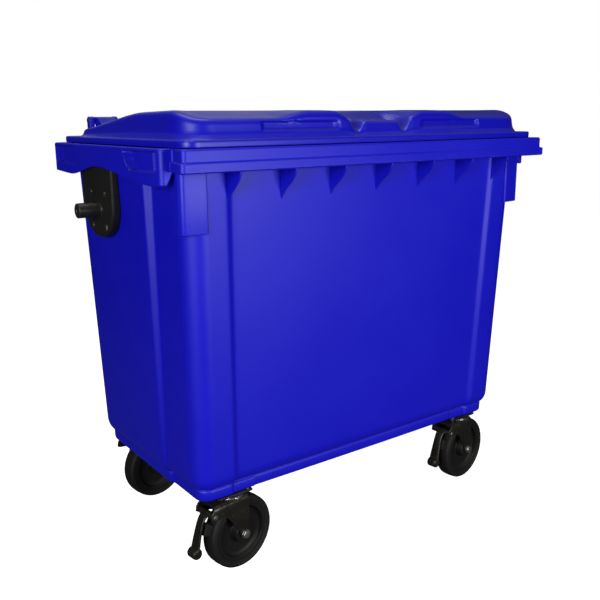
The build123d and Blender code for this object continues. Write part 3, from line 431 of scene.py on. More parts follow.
# Plan of the tub at one height. Every size tapers straight from base to top; inset steps it in.
def tubPlan(height, inset):
    form = tubForm
    share = (height - floorUnder) / (rimTop - floorUnder)

    # straight from the base value to the top value
    def taper(key):
        return form[key + "Base"] + (form[key + "Top"] - form[key + "Base"]) * share

    column = taper("column")
    panel = column + taper("proud") - inset
    front = taper("front") + inset
    step = taper("step")
    border = column - form["columnWidth"]
    column -= inset
    left = [
        (-border + form["recessRun"], front + form["recess"]),
        (-border, front),
        (-column, front),
        (-column, step - form["stepRun"]),
        (-panel, step),
        (-panel, taper("rear") - inset),
    ]
    round1 = form["frontCorner"] - min(inset, 0.02)
    round2 = form["rearCorner"] - min(inset, 0.02)
    reaches = [0.006, 0.006, round1, 0.005, 0.005, round2]
    arcs = [5, 5, 16, 5, 5, 18]
    sides = [1, 8, 10, 1, 30, 50, 30, 1, 10, 8, 1, 64]
    outline = roundedOutline(bothSides(left), reaches + reaches[::-1], arcs + arcs[::-1], sides)
    # the wide panels are crowned a little: a cosine arch across each of them
    middle = np.clip(1 - (outline[:, 0] / 0.44) ** 2, 0, 1)
    outline[:, 1] += np.sign(outline[:, 1]) * form["crown"] * middle
    return outline


# The tub's walls and floor as one closed skin: a stack of plans, up the outside and down the inside.
def makeTubBody():
    form = tubForm
    low = floorUnder
    plinth = form["plinthInset"]
    levels = [(low, 0.021), (low + 0.001, 0.0185), (low + 0.003, 0.0168), (low + 0.006, plinth)]
    plinthTop = low + form["plinthTop"]
    levels += [(low + 0.016, plinth), (plinthTop - 0.003, plinth), (plinthTop, 0.0168)]
    levels.append((plinthTop + 0.002, 0.019))
    groove = plinthTop + 0.005
    rise = low + form["roundTop"] - groove
    for angle in np.linspace(0, math.pi / 2, 12):
        levels.append((groove + rise * (1 - math.cos(angle)), form["grooveInset"] * (1 - math.sin(angle))))
    for height in np.linspace(low + form["roundTop"] + 0.02, rimTop - 0.003, 24):
        levels.append((height, 0.0))
    wall = form["wall"]
    for height in np.linspace(rimTop - 0.003, low + form["roundTop"], 14):
        levels.append((height, wall))
    inner = low + form["floor"]
    levels += [(low + 0.046, wall + 0.006), (low + 0.030, wall + 0.016), (inner + 0.006, wall + 0.018)]
    levels += [(inner + 0.002, wall + 0.021), (inner, wall + 0.027)]
    rings = [np.column_stack([tubPlan(h, i), np.full(len(tubPlan(h, i)), h)]) for h, i in levels]
    centre = np.array([0.0, form["drainPlace"]])

    # rings drawn in towards the drain circle; share is how much of the way out is left
    def towardsDrain(ring, shares, sink):
        rows = []
        for share in shares:
            away = ring[:, :2] - centre
            circle = centre + unit(away) * form["drainRadius"]
            flat = circle + (ring[:, :2] - circle) * share
            rows.append(np.column_stack([flat, ring[:, 2] - sink * (1 - share) ** 4]))
        return rows

    under = towardsDrain(rings[0], (0.0, 0.3, 0.65), 0.0)
    inside = towardsDrain(rings[-1], (0.9, 0.6, 0.35, 0.15, 0.05, 0.0), 0.0015)
    return ringSurface(under + rings + inside)


bossForm = {
    "halfLength": 0.064, "halfWidth": 0.048, "corner": 0.012, "fromWall": 0.020, "foot": 0.001, "top": 0.030,
    "edge": 0.005,
}


# The blocks in the floor corners that the castors bolt to: rounded rectangles kept off the walls.
def makeBosses():
    form = bossForm
    long, wide = form["halfLength"], form["halfWidth"]
    surfaces = []
    for station in stations:
        low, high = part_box(station + "_plate_bolts")
        centre = ((low + high) / 2).xy
        outline = roundedOutline(
            [(-long, -wide), (long, -wide), (long, wide), (-long, wide)],
            [form["corner"]] * 4, [6] * 4, [4] * 4) + np.array(centre)
        outline[:, 1] = np.clip(
            outline[:, 1], tubForm["frontBase"] + form["fromWall"], tubForm["rearBase"] - form["fromWall"])
        surfaces.append(slab(outline, floorUnder + form["foot"], floorUnder + form["top"], form["edge"]))
    return surfaces


rimForm = {
    "wall": 0.006, "combY": frontY + 0.007, "combFront": 0.623, "combRear": 0.603, "skirtFront": -0.308,
    "ledge": 0.007, "ledgeShare": 0.48, "combDrop": 0.052, "rearDrop": 0.042, "plate": 0.006,
    "round": 0.004, "bead": 0.0012, "rampFrom": 0.606, "rampRun": 0.015, "endReach": 0.013,
    "waveY": [-0.308, -0.262, 0.070, 0.255, 0.392],
    "waveDrop": [0.082, 0.085, 0.055, 0.082, 0.077],
    "pocketDrop": 0.052, "pocketDeep": 0.024, "blockDepth": 0.008, "pocketSlope": 0.030,
    "pocketFront": (-0.288, -0.110), "blockFront": (-0.262, -0.167),
    "pocketRear": (0.218, 0.372), "blockRear": (0.226, 0.328),
}


# how finely the rim's plan and the tub's mouth are stepped; one list for both, so that they join
rimSteps = {"arcs": [3, 3, 12, 4, 10, 12], "sides": [1, 12, 14, 3, 250, 60, 250, 3, 14, 12, 1, 60]}


# Plan of the rim. ledge grows only the comb at the front.
def rimPlan(inset, ledge=0.0):
    form = rimForm
    left = [
        (-0.462, form["combY"] + inset - ledge),
        (-0.476, form["combY"] + inset - ledge),
        (-form["combFront"] + inset - ledge, form["combY"] + inset - ledge),
        (-form["combRear"] + inset - ledge, form["skirtFront"] + inset),
        (-skirtX + inset, form["skirtFront"] + inset),
        (-skirtX + inset, rearY - inset),
    ]
    reaches = [0.004, 0.004, 0.016, 0.004, form["endReach"], 0.030 - inset]
    arcs, sides = rimSteps["arcs"], rimSteps["sides"]
    return roundedOutline(bothSides(left), reaches + reaches[::-1], arcs + arcs[::-1], sides)


# How far the skirt's lower edge hangs below the rim top at each point of the outer plan.
def skirtDrop(plan):
    form = rimForm
    x = np.abs(plan[:, 0])
    y = plan[:, 1]
    wave = easedLine(y, form["waveY"], form["waveDrop"])
    level = np.where(y < 0, form["combDrop"], form["rearDrop"])
    ramp = np.clip((x - form["rampFrom"]) / form["rampRun"], 0, 1)
    drop = level + (wave - level) * ramp
    return np.where(y < form["skirtFront"] - 0.0005, form["combDrop"], drop)


# Depth of the hand pockets at (y, z): a soft-edged window less the rounded block inside it.
def pocketDepth(y, z):
    form = rimForm
    low = rimTop - form["pocketDrop"]
    high = rimTop - form["plate"] - 0.001
    up = np.clip((z - low) / (high - low), 0, 1)
    edge = 0.0016
    depth = 0
    for span, block, slope in (
        (form["pocketFront"], form["blockFront"], form["pocketSlope"]),
        (form["pocketRear"], form["blockRear"], 0.0),
    ):
        rear = span[1] - slope * (1 - up) ** 2
        window = softStep((y - span[0]) / edge) * softStep((rear - y) / edge)
        window = window * softStep((z - low) / edge) * softStep((high - z) / edge)
        soft = 0.004
        inner = softStep((y - block[0]) / soft) * softStep((block[1] - y) / soft)
        depth = depth + window * (form["pocketDeep"] - (form["pocketDeep"] - form["blockDepth"]) * inner)
    return depth


# The rim as a closed loop of plans: mouth edge, top, outer face with its ledge and pockets, inner face.
def makeTubRim():
    form = rimForm
    mouth = tubPlanForRim()
    outer = rimPlan(0.0)
    drop = skirtDrop(outer)
    low = rimTop - drop
    onComb = outer[:, 1] < form["skirtFront"] - 0.0005
    onSide = (np.abs(outer[:, 0]) > skirtX - 0.001) & ~onComb
    rows = []

    # a plan set at its height, which may differ from point to point
    def addRow(plan, height):
        rows.append(np.column_stack([plan, np.broadcast_to(height, len(plan))]))

    addRow(mouth, rimTop - form["plate"])
    addRow(mouth, rimTop - 0.0018)
    top = rimPlan(form["round"])
    addRow(mouth + (top - mouth) * 0.02, rimTop - 0.0004)
    for share in (0.04, 0.35, 0.7, 0.93):
        addRow(mouth + (top - mouth) * share, rimTop)
    for angle in np.linspace(0, math.pi / 2, 6):
        inset = form["round"] * (1 - math.sin(angle))
        fall = form["round"] * (1 - math.cos(angle))
        addRow(rimPlan(inset), rimTop - fall + form["bead"] * math.cos(angle))
    head = rimTop - form["round"]
    seam = form["ledgeShare"]
    shares = np.concatenate([
        np.linspace(0.97, seam + 0.04, 17), [seam + 0.015, seam, seam - 0.02, seam - 0.04],
        np.linspace(seam - 0.07, 0.05, 14)])

    # the outer face at one share of its height: the comb stands out under the seam, the sides take pockets
    def faceRow(inset, share, height):
        grown = form["ledge"] * float(softStep((seam - share) / 0.03))
        plan = np.where(onComb[:, None], rimPlan(inset, grown), rimPlan(inset))
        depth = np.where(onSide, pocketDepth(plan[:, 1], height), 0)
        plan = plan.copy()
        plan[:, 0] -= np.sign(plan[:, 0]) * depth
        return plan

    for share in shares:
        height = low + (head - low) * share
        addRow(faceRow(0.0, share, height), height)
    half = form["wall"] / 2
    for angle in np.linspace(0, math.pi, 7):
        plan = faceRow(half * (1 - math.cos(angle)), 0.0, low)
        addRow(plan, low + half * (1 - math.sin(angle)))
    for share in np.linspace(0.08, 0.86, 9):
        height = low + (head - low) * share
        addRow(faceRow(form["wall"], share, height), height)
    under = faceRow(form["wall"] + 0.003, 1.0, head)
    addRow(under, rimTop - form["plate"])
    return ringSurface(rows, closed=True)


# The mouth of the tub sampled with the same steps as the rim plan.
def tubPlanForRim():
    form = tubForm
    inset = form["wall"] - 0.0006
    column = form["columnTop"] - inset
    panel = form["columnTop"] + form["proudTop"] - inset
    front = form["frontTop"] + inset
    border = form["columnTop"] - form["columnWidth"]
    left = [
        (-border + form["recessRun"], front + form["recess"]),
        (-border, front),
        (-column, front),
        (-column, form["stepTop"] - form["stepRun"]),
        (-panel, form["stepTop"]),
        (-panel, form["rearTop"] - inset),
    ]
    reaches = [0.006, 0.006, 0.049, 0.005, 0.005, 0.094]
    arcs, sides = rimSteps["arcs"], rimSteps["sides"]
    return roundedOutline(bothSides(left), reaches + reaches[::-1], arcs + arcs[::-1], sides)


finForm = {"pitch": 0.1565, "count": 3, "thickness": 0.005, "drop": 0.145, "edge": 0.0016}
sideBasis = np.array([[0, 1, 0], [0, 0, 1], [1, 0, 0]])


# Fins under the comb: the lower edge is a Bezier curve from the comb's foot in to the wall.
def makeFins():
    form = finForm
    share = 1 - form["drop"] / (rimTop - floorUnder)
    base, top = tubForm["frontBase"], tubForm["frontTop"]
    wallY = base + (top - base) * share + tubForm["recess"] + 0.004
    bandY = rimForm["combY"] + 0.003
    toe = rimTop - rimForm["combDrop"] + 0.0015
    root = rimTop - form["drop"]
    s = np.linspace(0, 1, 22)[:, None]
    curve = (
        (1 - s) ** 3 * np.array([bandY, toe])
        + 3 * s * (1 - s) ** 2 * np.array([bandY, toe - 0.036])
        + 3 * s ** 2 * (1 - s) * np.array([wallY - 0.010, toe - 0.050])
        + s ** 3 * np.array([wallY, root])
    )
    outline = np.concatenate([curve, [[wallY, rimTop - 0.004], [bandY, rimTop - 0.004]]])
    half = form["thickness"] / 2
    surfaces = []
    for index in range(-form["count"], form["count"] + 1):
        x = index * form["pitch"]
        surfaces.append(slab(outline, x - half, x + half, form["edge"], basis=sideBasis))
    return surfaces


padForm = {
    "proud": 0.013, "front": 0.056, "edgeY": -0.308, "rearY": -0.280, "top": 0.040, "bottom": 0.197,
    "edge": 0.0025,
}


# Pads that square off the two front corners.
def makePads():
    form = padForm
    column = tubForm["columnTop"]
    padX = column + form["proud"]
    front = tubForm["frontTop"] - 0.001
    surfaces = []
    for side in (-1, 1):
        corners = [
            (side * (column - form["front"]), front),
            (side * (padX - 0.006), front + 0.006),
            (side * padX, form["edgeY"]),
            (side * padX, form["rearY"]),
            (side * (column - 0.004), form["rearY"]),
            (side * (column - form["front"]), form["rearY"] - 0.020),
        ]
        outline = roundedOutline(corners, [0.004, 0.007, 0.004, 0.002, 0.002, 0.002], [5] * 6, [4] * 6)
        surfaces.append(slab(outline, rimTop - form["bottom"], rimTop - form["top"], form["edge"]))
    return surfaces


hingeForm = {"lug": 0.016, "lugRadius": 0.011, "knuckleRadius": 0.010, "gap": 0.017, "edge": 0.002}


# Side view of an upright with a round eye: a half circle on top of a straight foot.
def eyeOutline(centreY, centreZ, radius, footZ, footRun=0.0):
    turn = np.linspace(0, math.pi, 20)
    arc = np.stack([centreY + radius * np.cos(turn), centreZ + radius * np.sin(turn)], 1)
    foot = [[centreY - radius - footRun, footZ], [centreY + radius, footZ]]
    return np.concatenate([arc, foot])


# Two eyes for each hinge pin, standing on the rim near the two ends of the pin.
def makeLugs():
    form = hingeForm
    surfaces = []
    for side in ("left", "right"):
        low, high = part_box("hinge_pin_" + side)
        centre = (low + high) / 2
        outline = eyeOutline(centre.y, centre.z, form["lugRadius"], rimTop - 0.003, 0.004)
        for x in (low.x + 0.003, high.x - 0.003 - form["lug"]):
            surfaces.append(slab(outline, x, x + form["lug"], form["edge"], basis=sideBasis))
    return surfaces


stations = [name[: -len("_kingpin")] for name in sorted(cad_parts) if name.endswith("_kingpin")]
tubFinish = finishes["tubPlastic"]
makePiece("tubBody", [makeTubBody()] + makeBosses(), tubFinish, "body", ["tub"], 50)
makePiece("tubRim", [makeTubRim()], tubFinish, "body", ["tub"], 50)
makePiece("tubFins", makeFins(), tubFinish, "body", ["tub"])
makePiece("tubCornerPads", makePads(), tubFinish, "body", ["tub"])
makePiece("tubHingeLugs", makeLugs(), tubFinish, "body", ["tub"])
print("tub made")


lidForm = {
    "wall": 0.005, "edgeHeight": 0.017, "corner": 0.040, "domeSide": 0.009, "domeFront": 0.016,
    "domeRear": 0.042, "domeCorner": 0.090,
    "ridgeY": [-0.360, -0.245, -0.068, 0.014, 0.174, 0.330, 0.400],
    "ridgeZ": [0.082, 0.085, 0.082, 0.0735, 0.051, 0.0335, 0.032],
    "scoopDrop": 0.018, "scoopX": (0.235, 0.335), "scoopY": (-0.345, -0.200),
    "valleyX": 0.082, "valleyDrop": 0.052, "moundDrop": 0.026, "shoulderX": 0.150,
    "notchY": (-0.300, -0.185),
    "gripX": (0.150, 0.378), "gripZ": (0.037, 0.057), "gripDepth": 0.008,
    "flankRun": [0.0, 0.002, 0.004, 0.007, 0.010, 0.012, 0.0135, 0.015, 0.0175, 0.021, 0.027, 0.036],
    "flankRise": [0.0, 0.015, 0.06, 0.15, 0.24, 0.38, 0.55, 0.75, 0.88, 0.95, 0.985, 1.0],
}


# Height of the lid's top over the rim at (x, y): the ridge line along the ends, less the front scoops,
# less the two valleys beside the middle mound.
def lidHeight(x, y):
    form = lidForm
    width = np.abs(x)
    grid = np.linspace(-0.42, 0.42, 400)
    line = np.interp(grid, form["ridgeY"], form["ridgeZ"])
    kernel = np.hanning(41)
    padded = np.pad(line, 20, mode="edge")
    line = np.convolve(padded, kernel / kernel.sum(), mode="valid")
    height = np.interp(y, grid, line)
    inner, outer = form["scoopX"]
    near, far = form["scoopY"]
    across = softStep(2 * (width - inner) / (outer - inner) - 1)
    reach = far - 0.045 * softStep((width - 0.54) / 0.03)
    along = softStep(1 - 2 * (y - near) / (reach - near))
    height = height - form["scoopDrop"] * across * along
    # hollows between the inner edge of the scoop and the front
    valley = np.exp(-((width - form["valleyX"]) / 0.030) ** 2)
    middle = softStep((form["shoulderX"] - 0.030 - width) / 0.040)
    notch = np.maximum(form["moundDrop"] * middle, form["valleyDrop"] * valley)
    start, finish = form["notchY"]
    fade = softStep(1 - 2 * (y - start) / (finish - start))
    return height - notch * fade


# Plan of the lid's rolled edge, and of the foot of the dome; both have the same steps round them.
def lidPlan(inset, dome):
    form = lidForm
    sideX = lidHigh.x - inset - dome * form["domeSide"]
    front = lidLow.y + inset + dome * form["domeFront"]
    rear = lidRear - inset - dome * form["domeRear"]
    middle = (front + rear) / 2
    front = min(front, middle)
    rear = max(rear, middle)
    reach = form["corner"] + (form["domeCorner"] - form["corner"]) * dome - inset
    reach = max(min(reach, (rear - front) / 2 * 0.98, sideX), 1e-5)
    corners = [(-sideX, front), (-sideX, rear), (sideX, rear), (sideX, front)]
    return roundedOutline(corners, [reach] * 4, [12] * 4, [90, 210, 90, 210])


hingeLow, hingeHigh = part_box("hinge_pin_left")
lidRear = rearY - 0.004
lugBay = {"halfWidth": 0.050, "front": (hingeLow.y + hingeHigh.y) / 2 - 0.016, "edge": 0.003}


# The rear edge is cut back where the tub's lugs stand up.
def clearLugs(plan):
    centre = abs((hingeLow.x + hingeHigh.x) / 2)
    away = np.abs(np.abs(plan[:, 0]) - centre)
    inBay = softStep((lugBay["halfWidth"] - away) / lugBay["edge"])
    limit = rearY + (lugBay["front"] - rearY) * inBay
    plan = plan.copy()
    plan[:, 1] = np.minimum(plan[:, 1], limit)
    return plan


# One side of the lid's shell, offset down and in by depth; rings run from the edge to the middle line.
def lidRings(depth, flankSteps, topSteps):
    form = lidForm
    edgeTop = lidLow.z + form["edgeHeight"] - depth
    rings = []

    # a plan set at its height, which may differ from point to point
    def addRing(plan, height):
        rings.append(np.column_stack([plan, np.broadcast_to(height, len(plan))]))

    rolled = [(0.0015, lidLow.z), (0.0004, lidLow.z + 0.0008), (0.0, lidLow.z + 0.0025)]
    rolled += [(0.0, edgeTop - 0.005), (0.0006, edgeTop - 0.0022), (0.0020, edgeTop - 0.0006)]
    rolled.append((0.0045, edgeTop))
    if depth:
        rolled = [(depth - 0.001, lidLow.z), (depth, lidLow.z + 0.001),
                  (depth, edgeTop - 0.004), (depth + 0.003, edgeTop)]
    for inset, height in rolled:
        addRing(clearLugs(lidPlan(inset, 0)), height)
    spread = np.linspace(0, 1, len(form["flankRun"]))
    runs = np.interp(np.linspace(0, 1, flankSteps), spread, form["flankRun"])
    rises = np.interp(runs, form["flankRun"], form["flankRise"])
    half = (lidRear - form["domeRear"] - lidLow.y - form["domeFront"]) / 2
    inward = np.linspace(form["flankRun"][-1], half, topSteps + 1)[1:]
    for run, rise in zip(np.concatenate([runs, inward]), np.concatenate([rises, np.ones(topSteps)])):
        plan = lidPlan(run + depth * 0.8, 1)
        top = rimTop + lidHeight(plan[:, 0], plan[:, 1]) - depth
        height = edgeTop + (top - edgeTop) * rise
        frontal = softStep((lidLow.y + 0.05 - plan[:, 1]) / 0.004)
        x = np.abs(plan[:, 0])
        level = height + depth - rimTop
        left, right = form["gripX"]
        bottom, head = form["gripZ"]
        grip = softStep((x - left) / 0.010) * softStep((right - x) / 0.004)
        grip = grip * softStep((level - bottom) / 0.0025) * softStep((head - level) / 0.003)
        plan[:, 1] += form["gripDepth"] * grip * frontal
        addRing(plan, height)
    return rings


# The lid: outer skin from the middle out to the edge, then the inner skin back to the middle.
def makeLidShell():
    outer = lidRings(0.0, 34, 40)
    inner = lidRings(lidForm["wall"], 12, 14)
    return ringSurface(outer[::-1] + inner, caps=False)


# Knuckles between the lugs, each on an arm that runs down to the dome.
def makeKnuckles():
    form = hingeForm
    surfaces = []
    for side in ("left", "right"):
        low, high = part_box("hinge_pin_" + side)
        centre = (low + high) / 2
        radius = form["knuckleRadius"]
        turn = np.linspace(-math.pi / 2, math.pi * 0.55, 22)
        arc = np.stack([centre.y + radius * np.cos(turn), centre.z + radius * np.sin(turn)], 1)
        foot = rimTop + lidHeight(np.array([centre.x]), np.array([centre.y - 0.08]))[0] - 0.003
        nearFoot = rimTop + lidHeight(np.array([centre.x]), np.array([centre.y - 0.045]))[0] - 0.004
        arm = [[centre.y - 0.030, centre.z + radius - 0.004], [centre.y - 0.085, foot + 0.002],
               [centre.y - 0.085, foot - 0.004], [centre.y - 0.045, nearFoot],
               [centre.y - 0.012, centre.z - radius - 0.010], [centre.y - 0.006, centre.z - radius]]
        outline = np.concatenate([arc, arm])
        width = (low.x + 0.003 + form["gap"], high.x - 0.003 - form["gap"])
        surfaces.append(slab(outline, width[0], width[1], form["edge"], basis=sideBasis))
    return surfaces


lidFinish = finishes["lidPlastic"]
makePiece("lidShell", [makeLidShell()], lidFinish, "lid", ["lid"], 50)
makePiece("lidKnuckles", makeKnuckles(), lidFinish, "lid", ["lid"])
print("lid made")


trunnionForm = {
    "foot": 0.092, "edge": 0.008, "sink": 0.003, "pinRadius": 0.020, "pinRound": 0.0035, "shank": 0.012,
    "nutRadius": 0.020, "nutHeight": 0.014, "boltHead": 0.009, "boltShank": 0.005, "boltNut": 0.008,
    "backingCorner": 0.012, "backingEdge": 0.0012,
}


# Trunnion housing: a thick plate with a round foot whose back follows the leaning wall.
def makeTrunnionPlate(side):
    form = trunnionForm
    sign = -1 if side == "left" else 1
    low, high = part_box("trunnion_plate_" + side)
    face = max(abs(low.x), abs(high.x))
    corners = [(low.y, high.z), (low.y, low.z), (high.y, low.z), (high.y, high.z)]
    reaches = [0.002, form["foot"], form["foot"], 0.002]
    outline = roundedOutline(corners, reaches, [3, 24, 24, 3], [8, 3, 8, 10])
    share = (outline[:, 1] - floorUnder) / (rimTop - floorUnder)
    column = tubForm["columnBase"] + (tubForm["columnTop"] - tubForm["columnBase"]) * share
    proud = tubForm["proudBase"] + (tubForm["proudTop"] - tubForm["proudBase"]) * share
    inner = sign * (column + proud - form["sink"])
    outer = np.full(len(outline), sign * face)
    near, far = (outer, inner) if sign < 0 else (inner, outer)
    return slab(outline, near, far, form["edge"], basis=sideBasis, steps=7)


# Trunnion pin: a round head with a moulded dimple outside, the shank and a hexagon nut inside.
def makeTrunnionPin(side):
    form = trunnionForm
    low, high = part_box("trunnion_pin_" + side)
    centre = (low + high) / 2
    sign = -1 if side == "left" else 1
    plateLow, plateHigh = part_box("trunnion_plate_" + side)
    face = max(abs(plateLow.x), abs(plateHigh.x))
    tip = max(abs(low.x), abs(high.x))
    inner = min(abs(low.x), abs(high.x))
    turn = np.linspace(0, math.pi / 2, 8)
    big = form["pinRadius"]
    bend = form["pinRound"]
    profile = [(0.0, tip - 0.0025), (0.006, tip - 0.0025), (0.0075, tip - 0.0002), (0.011, tip)]
    profile += [(big - bend + bend * math.sin(a), tip - bend * (1 - math.cos(a))) for a in turn]
    profile += [(big, face + 0.005), (big + 0.0008, face + 0.002), (big + 0.003, face - 0.001)]
    profile += [(form["shank"], face - 0.003), (form["shank"], inner), (0.0, inner)]
    origin = (0, centre.y, centre.z)
    nut = hexagon(form["nutRadius"]) + np.array([centre.y, centre.z])
    ends = sorted([sign * inner, sign * (inner + form["nutHeight"])])
    return [turned(profile, origin, (sign, 0, 0), 64), slab(nut, ends[0], ends[1], 0.0014, basis=sideBasis)]


# Six points on a circle, joined by straight sides with small arcs at the corners.
def hexagon(radius):
    turn = np.linspace(0, 2 * math.pi, 6, endpoint=False)
    corners = radius * np.stack([np.cos(turn), np.sin(turn)], 1)
    return roundedOutline(corners, [0.0012] * 6, [3] * 6, [2] * 6)


# Trunnion bolts: low domed heads outside, hexagon heads inside, at the corners of a square.
def makeTrunnionBolts(side):
    low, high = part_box("trunnion_bolts_" + side)
    sign = -1 if side == "left" else 1
    outer = max(abs(low.x), abs(high.x))
    inner = min(abs(low.x), abs(high.x))
    head, shank = trunnionForm["boltHead"], trunnionForm["boltShank"]
    surfaces = []
    for y in (low.y + head, high.y - head):
        for z in (low.z + head, high.z - head):
            profile = [(0.0, outer), (0.004, outer), (0.0065, outer - 0.0008), (0.0085, outer - 0.0026),
                       (head, outer - 0.0046), (head, outer - 0.006), (shank, outer - 0.006), (shank, inner)]
            surfaces.append(turned(profile + [(0.0, inner)], (0, y, z), (sign, 0, 0), 28))
            nut = hexagon(head) + np.array([y, z])
            ends = sorted([sign * inner, sign * (inner + trunnionForm["boltNut"])])
            surfaces.append(slab(nut, ends[0], ends[1], 0.001, basis=sideBasis))
    return surfaces


# Backing plate inside the wall: a rectangle with round corners.
def makeBacking(side):
    low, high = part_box("trunnion_backing_" + side)
    corners = [(low.y, low.z), (high.y, low.z), (high.y, high.z), (low.y, high.z)]
    outline = roundedOutline(corners, [trunnionForm["backingCorner"]] * 4, [8] * 4, [4] * 4)
    return slab(outline, low.x, high.x, trunnionForm["backingEdge"], basis=sideBasis)


# Hinge pin: a plain shank swept round its axis, with the same low domed cap at both ends.
def makeHingePin(side):
    low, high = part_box("hinge_pin_" + side)
    centre = (low + high) / 2
    half = (high.x - low.x) / 2
    head = (high.z - low.z) / 2
    cap = [(0.0, half), (head * 0.5, half - 0.0002), (head * 0.8, half - 0.0009), (head, half - 0.0022),
           (head, half - 0.003), (0.005, half - 0.003)]
    profile = cap + [(r, -a) for r, a in reversed(cap)]
    return turned(profile, centre, (1, 0, 0), 32)


for side in ("left", "right"):
    makePiece("trunnionPlate_" + side, [makeTrunnionPlate(side)], finishes["blackPlastic"],
              "body", ["trunnion_plate_" + side])
    makePiece("trunnionPin_" + side, makeTrunnionPin(side), finishes["blackSteel"],
              "body", ["trunnion_pin_" + side])
    makePiece("trunnionBolts_" + side, makeTrunnionBolts(side), finishes["blackSteel"],
              "body", ["trunnion_bolts_" + side])
    makePiece("trunnionBacking_" + side, [makeBacking(side)], finishes["brightSteel"],
              "body", ["trunnion_backing_" + side])
    makePiece("hingePin_" + side, [makeHingePin(side)], finishes["blackSteel"],
              "body", ["hinge_pin_" + side])


drainForm = {
    "body": 0.0257, "flangeHeight": 0.006, "step": 0.010, "barHalf": 0.022, "barWidth": 0.004,
    "barRound": 0.0038, "sealBore": 0.0272, "sealLip": 0.0006,
}


# Drain plug: a flanged disc with a finger bar underneath, and its flat seal with a lip round the outside.
def makeDrain():
    form = drainForm
    low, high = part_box("drain_plug")
    sealLow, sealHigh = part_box("drain_seal")
    centre = (low + high) / 2
    flange = (high.x - low.x) / 2
    under = sealLow.z
    body = form["body"]
    foot = under - form["flangeHeight"]
    profile = [(0.0, high.z), (body - 0.002, high.z), (body, high.z - 0.0015), (body, under),
               (flange - 0.001, under), (flange, under - 0.0015), (flange, under - 0.0045),
               (flange - 0.002, foot), (form["step"], foot), (0.0, foot)]
    long, wide = form["barHalf"], form["barWidth"]
    bar = roundedOutline([(-long, -wide), (long, -wide), (long, wide), (-long, wide)],
                         [form["barRound"]] * 4, [8] * 4, [3] * 4) + np.array([centre.x, centre.y])
    plug = [turned(profile, (centre.x, centre.y, 0), (0, 0, 1), 48), slab(bar, low.z, under - 0.005, 0.0015)]
    makePiece("drainPlug", plug, finishes["blackPlastic"], "plug", ["drain_plug"])
    outer = (sealHigh.x - sealLow.x) / 2
    bore, lip = form["sealBore"], outer - form["sealLip"]
    ring = [(bore, sealLow.z), (lip, sealLow.z), (outer, (sealLow.z + sealHigh.z) / 2),
            (lip, sealHigh.z), (bore, sealHigh.z)]
    seal = turned(ring, (centre.x, centre.y, 0), (0, 0, 1), 48, closed=True)
    makePiece("drainSeal", [seal], finishes["sealRubber"], "body", ["drain_seal"])


makeDrain()
print("trunnions, hinge pins and drain made")


castorForm = {
    "tyreWall": 0.022, "tyreHalf": 0.025, "treadCrown": 0.0008,
    "bush": 0.014, "boss": 0.027, "bossHalf": 0.030, "webHalf": 0.006, "rimWall": 0.008, "rimHalf": 0.022,
    "legGap": 0.032, "sheet": 0.0042, "bend": 0.009, "nose": 0.092, "crownFront": 0.078, "crownRear": 0.033,
    "crownRound": 0.041, "foot": 0.016, "bushBore": 0.00806, "bushOuter": 0.0138, "bushHalf": 0.0300,
    "raceBore": 0.024, "kingpinShank": 0.010, "kingpinHead": 0.016, "headHeight": 0.004, "plateCorner": 0.006,
    "boltFromEdge": 0.007, "boltShank": 0.004, "boltHead": 0.007,
}
# reach: how far out from the leg's middle the pins' washers sit; the rest of each: shank, head, head's height
crossPins = {"reach": 0.004, "axle": (0.008, 0.012, 0.007), "brake": (0.004, 0.0065, 0.003)}
# the knee and the tip of the pedal are given from the axle: past the tyre, and degrees over or under level
brakeForm = {
    "width": 0.017, "sheet": 0.0065, "tip": 0.015, "pinch": 0.22, "edge": 0.0028, "tipEdge": 0.0065,
    "eye": 0.009, "eyeHalf": 0.0312, "eyeEdge": 0.0015, "knee": (0.0272, 23.1), "end": (0.0424, -4.0),
    "shoeArc": (151, 165), "shoeInner": 0.0006, "shoeOuter": 0.0236, "shoeHalf": 0.015, "shoeEdge": 0.0015,
}


# A strip of sheet carried along a path in one plane; across that plane it runs from low to high.
# Each ring is the strip's section with rounded corners, square to the path.
def sheetStrip(path, low, high, thickness, edge, origin, basis):
    path = np.asarray(path, float)
    tangent = unit(np.gradient(path, axis=0))
    normal = np.stack([-tangent[:, 1], tangent[:, 0]], 1)
    half = thickness / 2
    turn = np.linspace(0, math.pi / 2, 4)
    round1 = np.stack([np.cos(turn), np.sin(turn)], 1) * edge
    corner = np.concatenate([
        round1 + (-edge, half - edge),
        np.stack([-round1[:, 1], round1[:, 0]], 1) + (edge, half - edge),
        -round1 + (edge, edge - half),
        np.stack([round1[:, 1], -round1[:, 0]], 1) + (-edge, edge - half),
    ])
    atHigh = np.repeat([1, 0, 0, 1], 4)
    across = np.where(atHigh[None, :], high[:, None], low[:, None]) + corner[None, :, 0]
    place = path[:, None, :] + normal[:, None, :] * corner[None, :, 1, None]
    rings = np.concatenate([place, across[:, :, None]], 2)
    return ringSurface(rings @ np.asarray(basis, float) + np.asarray(origin, float))


